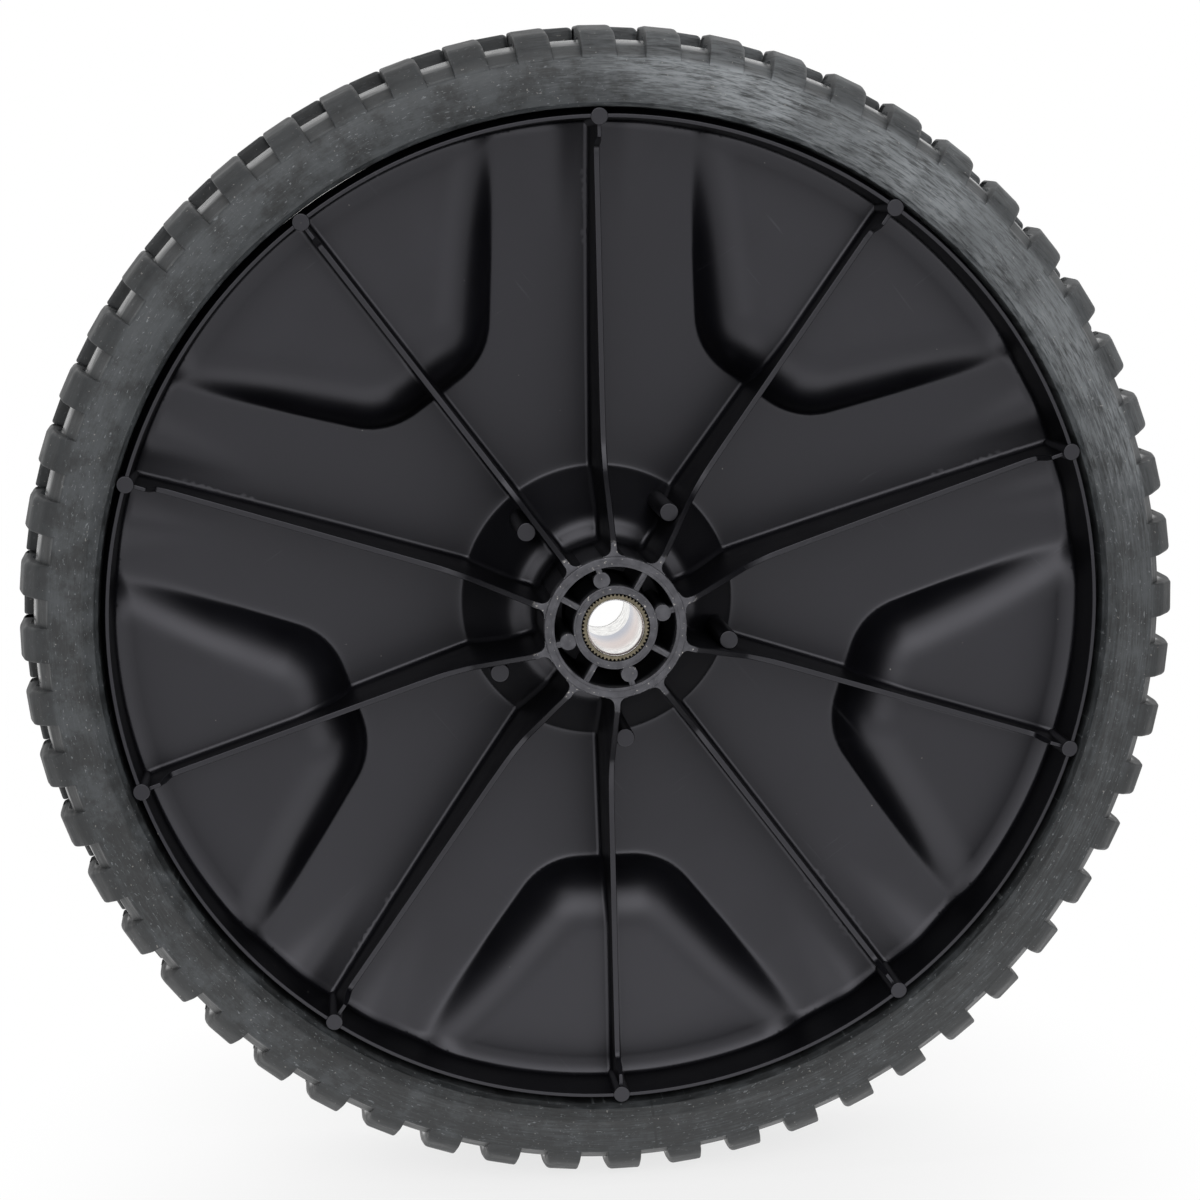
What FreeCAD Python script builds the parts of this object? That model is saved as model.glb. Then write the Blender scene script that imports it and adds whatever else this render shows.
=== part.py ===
import FreeCAD, Part
import math
import os
import Sketcher

# Eleven inch lawn mower wheel: a plastic disc, a rubber tyre and a knurled axle sleeve.
# The wheel turns about Y. Its inner face, with the ribs, looks towards -Y, and Z is up.
# The origin is on the axle line, midway across the tyre. All sizes are in millimetres.
# Depths are measured from the front edge of the rim, which is the edge on the inner face.

SIZES = (
    # tyre
    ("tyre_radius", 139.7),
    ("tyre_height", 19.5),
    ("tyre_width", 50.0),
    ("crest_rise", 7.3),
    ("bulge_rise", 3.9),
    ("bulge_inset", 0.95),
    ("shoulder_drop", 2.3),
    ("shoulder_inset", 5.0),
    ("crown_inset", 12.3),
    ("lip_flare", 1.3),
    ("lip_inset", 3.5),
    ("groove_depth", 4.8),
    ("lug_width", 8.2),
    ("lug_count", 56),
    ("lug_drop", 0.5),
    ("lug_gap", 1.0),
    ("lug_tail", 3.0),
    ("tyre_fit", 0.1),
    # rim
    ("rim_width", 41.0),
    ("rim_wall", 2.5),
    ("rim_edge_wall", 1.5),
    ("rim_edge_slope", 3.0),
    # web
    ("web_rim_depth", 18.0),
    ("web_hub_depth", 32.2),
    ("web_break_place", 74.0),
    ("web_break_depth", 27.2),
    ("web_wall", 3.0),
    ("cone_foot_radius", 34.0),
    ("cone_top_radius", 22.4),
    ("cone_top_depth", 16.2),
    ("cone_wall", 3.6),
    # hub
    ("hub_height", 10.5),
    ("hub_back_depth", 30.0),
    ("hub_ring_radius", 16.8),
    ("hub_ring_wall", 2.4),
    ("hub_tube_wall", 1.9),
    ("pocket_depth", 13.5),
    ("hub_web_width", 1.4),
    ("hub_web_drop", 0.5),
    ("hub_pad_radius", 2.0),
    ("hub_pad_place", 11.6),
    # ribs
    ("rib_count", 10),
    ("rib_width", 1.5),
    ("rib_depth", 8.0),
    ("rib_hub_end", 19.6),
    ("rib_hub_drop", 0.5),
    ("rib_bend_start", 35.2),
    ("rib_bend_end", 43.5),
    ("rib_bend_rise", 3.3),
    ("rib_bend_curve", 12.0),
    ("rib_tab_reach", 6.5),
    ("rib_tab_depth", 1.0),
    ("rib_tab_curve", 3.5),
    # ejector bosses
    ("boss_radius", 2.0),
    ("boss_inset", 0.3),
    ("post_count", 5),
    ("post_radius", 2.3),
    ("post_place", 29.15),
    ("post_depth", 1.2),
    ("post_turn", 5.8),
    # window panels
    ("window_count", 5),
    ("window_depth", 15.2),
    ("window_inner_place", 70.2),
    ("window_inner_half", 13.1),
    ("window_flank_angle", 42.3),
    ("window_corner", 14.0),
    ("window_draft", 20.0),
    ("window_round", 10.0),
    ("hollow_chamfer", 2.7),
    # sleeve
    ("bore_radius", 6.35),
    ("sleeve_radius", 8.0),
    ("sleeve_fit", 0.05),
    ("sleeve_inset", 0.3),
    ("knurl_count", 50),
    ("knurl_depth", 0.4),
    ("knurl_spread", 0.52),
)
VALUES = dict(SIZES)
FIRST_RIB_ANGLE = 18.0
FIRST_WINDOW_ANGLE = 54.0
HUB_WEB_ANGLE = 60.0
HUB_PAD_ANGLE = 15.0
HUB_WEB_COUNT = 4
OUTSIDE = 400.0


class Term:
    """A length as a formula over the sheet, with the number that it has now."""

    def __init__(self, text, value):
        self.text = text
        self.value = value

    def __add__(self, other):
        other = term(other)
        return Term("(%s + %s)" % (self.text, other.text), self.value + other.value)

    def __sub__(self, other):
        other = term(other)
        return Term("(%s - %s)" % (self.text, other.text), self.value - other.value)

    def __mul__(self, other):
        other = term(other)
        return Term("(%s * %s)" % (self.text, other.text), self.value * other.value)

    def __truediv__(self, other):
        other = term(other)
        return Term("(%s / %s)" % (self.text, other.text), self.value / other.value)

    def __neg__(self):
        return Term("(0 - %s)" % self.text, -self.value)


def term(item):
    if isinstance(item, Term):
        return item
    return Term("%.6f" % item, float(item))


def size(name):
    return Term("Sizes." + name, float(VALUES[name]))


doc = FreeCAD.newDocument("LawnMowerWheel")
sheet = doc.addObject("Spreadsheet::Sheet", "Sizes")
for row, (alias, number) in enumerate(SIZES, 1):
    sheet.set("A%d" % row, alias)
    sheet.set("B%d" % row, str(number))
    sheet.setAlias("B%d" % row, alias)
doc.recompute()


def new_body(label):
    body = doc.addObject("PartDesign::Body", label)
    body.Label = label
    return body


def datum(body, role):
    for feature in body.Origin.OriginFeatures:
        if feature.Role == role:
            return feature
    raise ValueError(role)


def new_sketch(body, name, plane):
    sketch = body.newObject("Sketcher::SketchObject", name)
    sketch.AttachmentSupport = [(datum(body, plane), "")]
    sketch.MapMode = "FlatFace"
    return sketch


def turn_radial(sketch, angle):
    # a radial plane through the axle line, turned to the given clock angle of the inner face
    turn = FreeCAD.Rotation(FreeCAD.Vector(0, 1, 0), -angle)
    sketch.AttachmentOffset = FreeCAD.Placement(FreeCAD.Vector(0, 0, 0), turn)


def lift(sketch, level, angle):
    # a plane square to the axle at a level towards the inner face, turned to a clock angle
    turn = FreeCAD.Rotation(FreeCAD.Vector(0, 0, 1), angle)
    sketch.AttachmentOffset = FreeCAD.Placement(FreeCAD.Vector(0, 0, level.value), turn)
    sketch.setExpression("AttachmentOffset.Base.z", level.text)


def arc_between(start, end, radius, way):
    # way is 1 for a counter-clockwise bend and -1 for a clockwise one
    chord = end - start
    middle = (start + end) * 0.5
    rise = math.sqrt(radius ** 2 - (chord.Length / 2) ** 2)
    normal = FreeCAD.Vector(-chord.y, chord.x, 0).normalize()
    centre = middle + normal * (rise * way)
    first = math.atan2(start.y - centre.y, start.x - centre.x)
    last = math.atan2(end.y - centre.y, end.x - centre.x)
    circle = Part.Circle(centre, FreeCAD.Vector(0, 0, 1), radius)
    if way > 0:
        return Part.ArcOfCircle(circle, first, last)
    return Part.ArcOfCircle(circle, last, first)


def place_point(sketch, index, spot, point):
    for kind, length in zip(("DistanceX", "DistanceY"), point):
        mark = sketch.addConstraint(
            Sketcher.Constraint(kind, -1, 1, index, spot, length.value))
        sketch.setExpression("Constraints[%d]" % mark, length.text)


def draw_outline(sketch, points, bends=None):
    """Draw a closed outline; bends gives the radius and way of the sides that are arcs."""
    bends = bends or {}
    points = [(term(across), term(along)) for across, along in points]
    corners = [FreeCAD.Vector(across.value, along.value, 0) for across, along in points]
    ends = []
    for number, start in enumerate(corners):
        end = corners[(number + 1) % len(corners)]
        if number in bends:
            radius, way = bends[number]
            index = sketch.addGeometry(arc_between(start, end, radius.value, way))
            ends.append((index, 1, 2) if way > 0 else (index, 2, 1))
        else:
            index = sketch.addGeometry(Part.LineSegment(start, end))
            ends.append((index, 1, 2))
    for number, (index, first, last) in enumerate(ends):
        following = ends[(number + 1) % len(ends)]
        sketch.addConstraint(
            Sketcher.Constraint("Coincident", index, last, following[0], following[1]))
        place_point(sketch, index, first, points[number])
    for number, (radius, way) in bends.items():
        mark = sketch.addConstraint(
            Sketcher.Constraint("Radius", ends[number][0], radius.value))
        sketch.setExpression("Constraints[%d]" % mark, radius.text)
    return sketch


def draw_circle(sketch, across, along, radius):
    across = term(across)
    along = term(along)
    centre = FreeCAD.Vector(across.value, along.value, 0)
    circle = Part.Circle(centre, FreeCAD.Vector(0, 0, 1), radius.value)
    index = sketch.addGeometry(circle)
    if across.value == 0 and along.value == 0:
        sketch.addConstraint(Sketcher.Constraint("Coincident", index, 3, -1, 1))
    else:
        mark = sketch.addConstraint(
            Sketcher.Constraint("DistanceX", -1, 1, index, 3, across.value))
        sketch.setExpression("Constraints[%d]" % mark, across.text)
        sketch.addConstraint(Sketcher.Constraint("PointOnObject", index, 3, -1))
    mark = sketch.addConstraint(Sketcher.Constraint("Radius", index, radius.value))
    sketch.setExpression("Constraints[%d]" % mark, radius.text)
    return sketch


def spin(body, kind, name, sketch):
    feature = body.newObject(kind, name)
    feature.Profile = sketch
    feature.ReferenceAxis = (datum(body, "Y_Axis"), [""])
    feature.Angle = 360.0
    return feature


def pad(body, name, sketch, length, back=False, both=False):
    feature = body.newObject("PartDesign::Pad", name)
    feature.Profile = sketch
    feature.setExpression("Length", length.text)
    feature.Reversed = back
    if both:
        feature.SideType = "Symmetric"
    return feature


def ring_of(body, name, originals, count):
    feature = body.newObject("PartDesign::PolarPattern", name)
    feature.Originals = originals
    feature.Axis = (datum(body, "Y_Axis"), [""])
    feature.Angle = 360.0
    feature.setExpression("Occurrences", count.text)
    body.Tip = feature
    return feature


# levels, measured from the middle of the wheel towards the inner face
RIM_FRONT = size("rim_width") / 2
RIM_BACK = -RIM_FRONT
HUB_FRONT = RIM_FRONT + size("hub_height")
HUB_BACK = RIM_FRONT - size("hub_back_depth")
WEB_AT_RIM = RIM_FRONT - size("web_rim_depth")
WEB_AT_HUB = RIM_FRONT - size("web_hub_depth")
WEB_BREAK = RIM_FRONT - size("web_break_depth")
CONE_TOP = RIM_FRONT - size("cone_top_depth")
POCKET_FLOOR = RIM_FRONT - size("pocket_depth")
RIB_TOP = RIM_FRONT - size("rib_depth")
TAB_TOP = RIM_FRONT - size("rib_tab_depth")
RIB_AT_HUB = HUB_FRONT - size("rib_hub_drop")
HUB_WEB_TOP = HUB_FRONT - size("hub_web_drop")
WINDOW_TOP = RIM_FRONT - size("window_depth")

# radii
RIM_RADIUS = size("tyre_radius") - size("tyre_height")
RIM_INNER = RIM_RADIUS - size("rim_wall")
HUB_BORE = size("sleeve_radius") + size("sleeve_fit")
TUBE_OUTER = HUB_BORE + size("hub_tube_wall")
RING_OUTER = size("hub_ring_radius")
RING_INNER = RING_OUTER - size("hub_ring_wall")
RIM_EDGE = RIM_INNER + size("rim_edge_wall")
RIM_MIDDLE = RIM_INNER + size("rim_edge_wall") / 2
RIB_TAB = RIM_INNER - size("rib_tab_reach")
BOSS_PLACE = RIM_EDGE - size("boss_radius") - size("boss_inset")
LUG_GAP = size("lug_gap") / 2
RING_MIDDLE = RING_OUTER - size("hub_ring_wall") / 2
TUBE_MIDDLE = HUB_BORE + size("hub_tube_wall") / 2
POCKET_BACK = POCKET_FLOOR - size("web_wall")
CONE_RUN = (size("cone_foot_radius") - size("cone_top_radius")) / (size("web_hub_depth") - size("cone_top_depth"))
CONE_BACK_TOP = size("cone_top_radius") - size("cone_wall") - (POCKET_BACK - CONE_TOP) * CONE_RUN
CONE_BACK_FOOT = size("cone_foot_radius") - size("cone_wall") + size("web_wall") * CONE_RUN
WINDOW_INSET = size("web_wall") * Term(
    "((1 - sin(Sizes.window_draft * 1 deg)) / cos(Sizes.window_draft * 1 deg))",
    (1 - math.sin(math.radians(VALUES["window_draft"]))) / math.cos(math.radians(VALUES["window_draft"])),
)


def window_tool(label, top, inset, limit, kind, brow):
    """Five drafted blocks with rounded brows, from the given level towards the outer face."""
    body = new_body(label)
    body.AllowCompound = True
    lean = math.radians(VALUES["window_flank_angle"])
    flank = Term("tan(Sizes.window_flank_angle * 1 deg)", math.tan(lean))
    along = Term("cos(Sizes.window_flank_angle * 1 deg)", math.cos(lean))
    aside = Term("sin(Sizes.window_flank_angle * 1 deg)", math.sin(lean))
    # a side that moves in square to itself shifts the corner by this share of the move
    share = Term("tan(45 deg - Sizes.window_flank_angle * 0.5 deg)", math.tan(math.pi / 4 - lean / 2))
    inner = size("window_inner_place") + inset
    half = size("window_inner_half") - inset * share
    reach = size("tyre_radius")
    wide = half + (reach - inner) * flank
    corner = size("window_corner") - inset
    run = corner * share
    outline = new_sketch(body, label + "_outline", "XZ_Plane")
    lift(outline, top, FIRST_WINDOW_ANGLE)
    draw_outline(
        outline,
        [
            (inner, run - half),
            (inner + run * along, -(half + run * aside)),
            (reach, -wide),
            (reach, wide),
            (inner + run * along, half + run * aside),
            (inner, half - run),
        ],
        {0: (corner, 1), 4: (corner, 1)},
    )
    block = pad(body, label + "_block", outline, top - RIM_BACK, back=True)
    doc.recompute()

    turn = FreeCAD.Rotation(FreeCAD.Vector(0, 1, 0), FIRST_WINDOW_ANGLE)
    sides = []
    for number, face in enumerate(block.Shape.Faces, 1):
        spot = turn.multVec(face.CenterOfMass)
        if abs(spot.y + top.value) < 0.001:
            roof = "Face%d" % number
        elif spot.x < reach.value - 1.0 and abs(spot.y + RIM_BACK.value) > 0.001:
            sides.append("Face%d" % number)
    leaning = body.newObject("PartDesign::Draft", label + "_draft")
    leaning.Base = (block, sides)
    leaning.NeutralPlane = (block, [roof])
    leaning.Reversed = True
    leaning.setExpression("Angle", "Sizes.window_draft * 1 deg")
    doc.recompute()
    # the draft takes its faces on the second pass
    leaning.touch()
    doc.recompute()

    brows = []
    for number, edge in enumerate(leaning.Shape.Edges, 1):
        spots = [turn.multVec(vertex.Point) for vertex in edge.Vertexes]
        on_top = all(abs(spot.y + top.value) < 0.001 for spot in spots)
        if on_top and min(spot.x for spot in spots) < reach.value - 1.0:
            brows.append("Edge%d" % number)
    softened = body.newObject("PartDesign::" + kind, label + "_brows")
    softened.Base = (leaning, brows)
    softened.setExpression("Radius" if kind == "Fillet" else "Size", brow.text)

    trim = new_sketch(body, label + "_trim", "XY_Plane")
    draw_outline(trim, [(limit, -HUB_FRONT), (OUTSIDE, -HUB_FRONT), (OUTSIDE, HUB_FRONT), (limit, HUB_FRONT)])
    spin(body, "PartDesign::Groove", label + "_round", trim)
    doc.recompute()
    around = ring_of(body, label + "_around", [], size("window_count"))
    around.TransformMode = "Whole shape"
    doc.recompute()
    return body


def join(body, kind, name, tool):
    feature = body.newObject("PartDesign::Boolean", name)
    feature.Type = kind
    feature.setObjects([tool])
    body.Tip = feature
    doc.recompute()
    return feature


# tools for the raised window panels and for the hollows behind them
forms = window_tool("window_forms", WINDOW_TOP, term(0.0), RIM_MIDDLE, "Fillet", size("window_round"))
hollows = window_tool(
    "window_hollows",
    WINDOW_TOP - size("web_wall"),
    WINDOW_INSET,
    RIM_INNER,
    "Chamfer",
    size("hollow_chamfer"),
)

# wheel disc: blank with the web, the rim and the hub
disc = new_body("wheel_disc")
section = new_sketch(disc, "disc_section", "XY_Plane")
draw_outline(
    section,
    [
        (HUB_BORE, -RIM_BACK),
        (HUB_BORE, -HUB_FRONT),
        (TUBE_OUTER, -HUB_FRONT),
        (TUBE_OUTER, -POCKET_FLOOR),
        (RING_INNER, -POCKET_FLOOR),
        (RING_INNER, -HUB_FRONT),
        (RING_OUTER, -HUB_FRONT),
        (RING_OUTER, -CONE_TOP),
        (size("cone_top_radius"), -CONE_TOP),
        (size("cone_foot_radius"), -WEB_AT_HUB),
        (size("web_break_place"), -WEB_BREAK),
        (RIM_INNER, -WEB_AT_RIM),
        (RIM_INNER, -RIM_FRONT),
        (RIM_EDGE, -RIM_FRONT),
        (RIM_RADIUS, size("rim_edge_slope") - RIM_FRONT),
        (RIM_RADIUS, RIM_FRONT - size("rim_edge_slope")),
        (RIM_EDGE, -RIM_BACK),
    ],
)
spin(disc, "PartDesign::Revolution", "disc_blank", section)
doc.recompute()

# short webs and ejector pads between the hub tube and the hub ring
half_web = size("hub_web_width") / 2
web_outline = new_sketch(disc, "hub_web_outline", "XZ_Plane")
lift(web_outline, HUB_WEB_TOP, HUB_WEB_ANGLE)
draw_outline(
    web_outline,
    [(TUBE_MIDDLE, -half_web), (RING_MIDDLE, -half_web), (RING_MIDDLE, half_web), (TUBE_MIDDLE, half_web)],
)
hub_web = pad(disc, "hub_web", web_outline, HUB_WEB_TOP - POCKET_FLOOR + half_web, back=True)
doc.recompute()
pad_circle = new_sketch(disc, "hub_pad_circle", "XZ_Plane")
lift(pad_circle, HUB_WEB_TOP, HUB_PAD_ANGLE)
draw_circle(pad_circle, size("hub_pad_place"), 0, size("hub_pad_radius"))
hub_pad = pad(disc, "hub_pad", pad_circle, HUB_WEB_TOP - POCKET_FLOOR + half_web, back=True)
doc.recompute()
tab_outline = new_sketch(disc, "hub_tab_outline", "XZ_Plane")
lift(tab_outline, HUB_WEB_TOP, HUB_PAD_ANGLE)
draw_outline(
    tab_outline,
    [
        (size("hub_pad_place"), -half_web),
        (RING_MIDDLE, -half_web),
        (RING_MIDDLE, half_web),
        (size("hub_pad_place"), half_web),
    ],
)
hub_tab = pad(disc, "hub_tab", tab_outline, HUB_WEB_TOP - POCKET_FLOOR + half_web, back=True)
doc.recompute()
ring_of(disc, "hub_details", [hub_web, hub_pad, hub_tab], term(HUB_WEB_COUNT))
doc.recompute()

join(disc, "Fuse", "disc_windows", forms)

# ribs, each with a raised tab at the hub and at the rim
rib_section = new_sketch(disc, "rib_section", "XY_Plane")
turn_radial(rib_section, FIRST_RIB_ANGLE)
draw_outline(
    rib_section,
    [
        (RING_MIDDLE, -RIM_BACK),
        (RING_MIDDLE, -RIB_AT_HUB),
        (size("rib_hub_end"), -RIB_AT_HUB),
        (size("rib_bend_start"), -(RIB_TOP + size("rib_bend_rise"))),
        (size("rib_bend_end"), -RIB_TOP),
        (RIB_TAB - size("rib_tab_curve"), -RIB_TOP),
        (RIB_TAB, -(RIB_TOP + size("rib_tab_curve"))),
        (RIB_TAB, -TAB_TOP),
        (RIM_MIDDLE, -TAB_TOP),
        (RIM_MIDDLE, -RIM_BACK),
    ],
    {3: (size("rib_bend_curve"), -1), 5: (size("rib_tab_curve"), -1)},
)
rib = pad(disc, "rib", rib_section, size("rib_width"), both=True)
doc.recompute()

# ejector bosses on the rim's front edge, at the end of each rib
boss_circle = new_sketch(disc, "boss_circle", "XZ_Plane")
lift(boss_circle, RIM_FRONT, FIRST_RIB_ANGLE)
draw_circle(boss_circle, BOSS_PLACE, 0, size("boss_radius"))
boss = pad(disc, "boss", boss_circle, size("web_rim_depth") + size("web_wall") / 2, back=True)
doc.recompute()
ring_of(disc, "ribs", [rib, boss], size("rib_count"))

# tall ejector posts beside the window ribs
post_circle = new_sketch(disc, "post_circle", "XZ_Plane")
lift(post_circle, RIM_FRONT - size("post_depth"), FIRST_WINDOW_ANGLE + VALUES["post_turn"])
draw_circle(post_circle, size("post_place"), 0, size("post_radius"))
post = pad(disc, "post", post_circle, RIM_FRONT - size("post_depth") - RIM_BACK, back=True)
doc.recompute()
ring_of(disc, "posts", [post], size("post_count"))

# outer face: the dish of the web, the cone round the hub and the hollow side of the rim
doc.recompute()
full = disc.Shape.Volume
back_section = new_sketch(disc, "back_section", "XY_Plane")
draw_outline(
    back_section,
    [
        (size("bore_radius"), -HUB_BACK),
        (TUBE_OUTER, -HUB_BACK),
        (TUBE_OUTER, -POCKET_BACK),
        (CONE_BACK_TOP, -POCKET_BACK),
        (CONE_BACK_FOOT, -(WEB_AT_HUB - size("web_wall"))),
        (size("web_break_place"), -(WEB_BREAK - size("web_wall"))),
        (RIM_INNER, -(WEB_AT_RIM - size("web_wall"))),
        (RIM_INNER, OUTSIDE),
        (size("bore_radius"), OUTSIDE),
    ],
)
spin(disc, "PartDesign::Groove", "disc_back", back_section)
doc.recompute()
if not disc.Shape.Volume < full:
    raise RuntimeError("the outer face cuts nothing")
join(disc, "Cut", "disc_hollows", hollows)

# tyre
tyre = new_body("tyre")
HALF_WIDTH = size("tyre_width") / 2
SEAT = RIM_RADIUS + size("tyre_fit")
SEAT_END = RIM_FRONT - size("rim_edge_slope")
LIP = HALF_WIDTH - size("lip_inset")
CREST = RIM_RADIUS + size("crest_rise")
CROWN = size("tyre_radius")
FLOOR = CROWN - size("groove_depth")
SHOULDER = HALF_WIDTH - size("shoulder_inset")
CROWN_END = HALF_WIDTH - size("crown_inset")
half_section = [
    (SEAT, SEAT_END),
    (SEAT + size("lip_flare"), LIP),
    (RIM_RADIUS + size("bulge_rise"), HALF_WIDTH - size("bulge_inset")),
    (CREST, HALF_WIDTH),
    (FLOOR, SHOULDER),
]
tyre_section = new_sketch(tyre, "tyre_section", "XY_Plane")
draw_outline(
    tyre_section,
    half_section + [(across, -along) for across, along in reversed(half_section)],
)
spin(tyre, "PartDesign::Revolution", "carcass", tyre_section)
doc.recompute()

# tread: two rows of lugs from the middle of the crown round the shoulder, half a pitch apart
LUG_ROOT = FLOOR - size("groove_depth")
LUG_TAIL = CREST + size("lug_tail")
lug_section = [
    (LUG_ROOT, LUG_GAP),
    (CROWN, LUG_GAP),
    (CROWN - size("lug_drop"), CROWN_END),
    (CROWN - size("shoulder_drop"), SHOULDER),
    (LUG_TAIL, HALF_WIDTH),
    (LUG_TAIL, SHOULDER),
]
row_turn = 180.0 / VALUES["lug_count"]
for row, side, angle in (("front", -1, 0.0), ("back", 1, row_turn)):
    lug_sketch = new_sketch(tyre, row + "_lug_section", "XY_Plane")
    turn_radial(lug_sketch, angle)
    draw_outline(lug_sketch, [(across, along * side) for across, along in lug_section])
    lug = pad(tyre, row + "_lug", lug_sketch, size("lug_width"), both=True)
    doc.recompute()
    ring_of(tyre, row + "_lugs", [lug], size("lug_count"))
    doc.recompute()

# sleeve: a straight-knurled tube with the axle bore
sleeve = new_body("hub_sleeve")
SLEEVE_HALF = (HUB_FRONT - HUB_BACK) / 2 - size("sleeve_inset")
sleeve_section = new_sketch(sleeve, "sleeve_section", "XY_Plane")
draw_outline(
    sleeve_section,
    [
        (size("bore_radius"), -SLEEVE_HALF),
        (size("sleeve_radius"), -SLEEVE_HALF),
        (size("sleeve_radius"), SLEEVE_HALF),
        (size("bore_radius"), SLEEVE_HALF),
    ],
)
spin(sleeve, "PartDesign::Revolution", "sleeve_tube", sleeve_section)
doc.recompute()
plain = sleeve.Shape.Volume
valley = size("sleeve_radius") - size("knurl_depth")
groove_outline = new_sketch(sleeve, "knurl_outline", "XZ_Plane")
draw_outline(
    groove_outline,
    [
        (valley, 0),
        (size("sleeve_radius") + size("knurl_depth"), -(size("knurl_spread") * 2)),
        (size("sleeve_radius") + size("knurl_depth"), size("knurl_spread") * 2),
    ],
)
groove = sleeve.newObject("PartDesign::Pocket", "knurl_groove")
groove.Profile = groove_outline
groove.setExpression("Length", (SLEEVE_HALF * 2 + size("knurl_depth")).text)
groove.SideType = "Symmetric"
doc.recompute()
ring_of(sleeve, "knurl", [groove], size("knurl_count"))
sleeve.setExpression("Placement.Base.y", (-(HUB_FRONT + HUB_BACK) / 2).text)
doc.recompute()
if not sleeve.Shape.Volume < plain:
    raise RuntimeError("the knurl cuts nothing")

# every feature has to be sound before anything is written
for item in doc.Objects:
    if "Invalid" in item.State or "Error" in item.State:
        raise RuntimeError("%s failed: %s" % (item.Name, item.State))
subparts = (disc, tyre, sleeve)
for body in subparts:
    if body.Shape.isNull() or not body.Shape.isValid():
        raise RuntimeError("%s has no sound shape" % body.Label)
    if len(body.Shape.Solids) != 1:
        raise RuntimeError("%s is not one solid" % body.Label)

os.makedirs("parts", exist_ok=True)
for body in subparts:
    body.Shape.exportStep("parts/%s.step" % body.Label)
    print(body.Label, round(body.Shape.Volume), "mm3")
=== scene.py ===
import math

import bpy
import numpy as np
from mathutils import Matrix, Vector
from mathutils.geometry import delaunay_2d_cdt


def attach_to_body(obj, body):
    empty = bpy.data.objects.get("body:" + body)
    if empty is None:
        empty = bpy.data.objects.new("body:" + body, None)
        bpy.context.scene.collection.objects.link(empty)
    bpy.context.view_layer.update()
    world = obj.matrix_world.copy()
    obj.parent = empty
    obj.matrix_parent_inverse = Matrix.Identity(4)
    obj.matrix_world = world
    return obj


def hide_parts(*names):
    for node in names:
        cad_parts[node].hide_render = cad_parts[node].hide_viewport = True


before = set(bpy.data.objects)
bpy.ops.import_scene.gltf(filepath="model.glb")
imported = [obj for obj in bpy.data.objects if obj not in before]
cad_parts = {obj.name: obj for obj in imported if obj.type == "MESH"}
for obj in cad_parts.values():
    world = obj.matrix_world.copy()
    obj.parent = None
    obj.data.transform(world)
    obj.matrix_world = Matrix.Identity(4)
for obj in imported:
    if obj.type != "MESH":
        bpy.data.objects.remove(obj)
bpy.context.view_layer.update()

bl_info = {
    "name": "Lawn Mower Wheel",
    "version": (1, 0, 0),
    "blender": (4, 5, 0),
    "location": "View3D > Sidebar > Wheel",
    "description": "Builds a ribbed plastic lawn mower wheel with its rubber tyre and metal sleeve",
    "category": "Add Mesh",
}

MM = 0.001
# the rim's inner edge lies this far in front of the wheel's middle; lifts are measured from there
EDGE_LEVEL = 20.5
MIDDLE = -EDGE_LEVEL
FAR_EDGE = 2 * MIDDLE
WINDOW_ANGLES = (270.0, 342.0, 54.0, 126.0, 198.0)
HALF_SECTOR = math.radians(36.0)
HALF_COSINE = math.cos(HALF_SECTOR)
HALF_SINE = math.sin(HALF_SECTOR)
WEB_ANGLES = (60.0, 150.0, 240.0, 330.0)
PAD_ANGLES = (15.0, 105.0, 195.0, 285.0)
# the disc and the sleeve have two materials each, numbered by their place in the piece's list
GLOSSY, MATT = 0, 1
PLATED, POLISHED = 0, 1
SAME_PLACE = 1e-6


def length(name, default, description):
    return bpy.props.FloatProperty(
        name=name, description=description, default=default, unit="LENGTH", subtype="DISTANCE", precision=5)


def share(name, default, description):
    return bpy.props.FloatProperty(
        name=name, description=description, default=default, min=0.0, max=1.0, subtype="FACTOR")


def colour(name, default, description):
    return bpy.props.FloatVectorProperty(
        name=name, description=description, default=default, size=3, min=0.0, max=1.0, subtype="COLOR")


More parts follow.
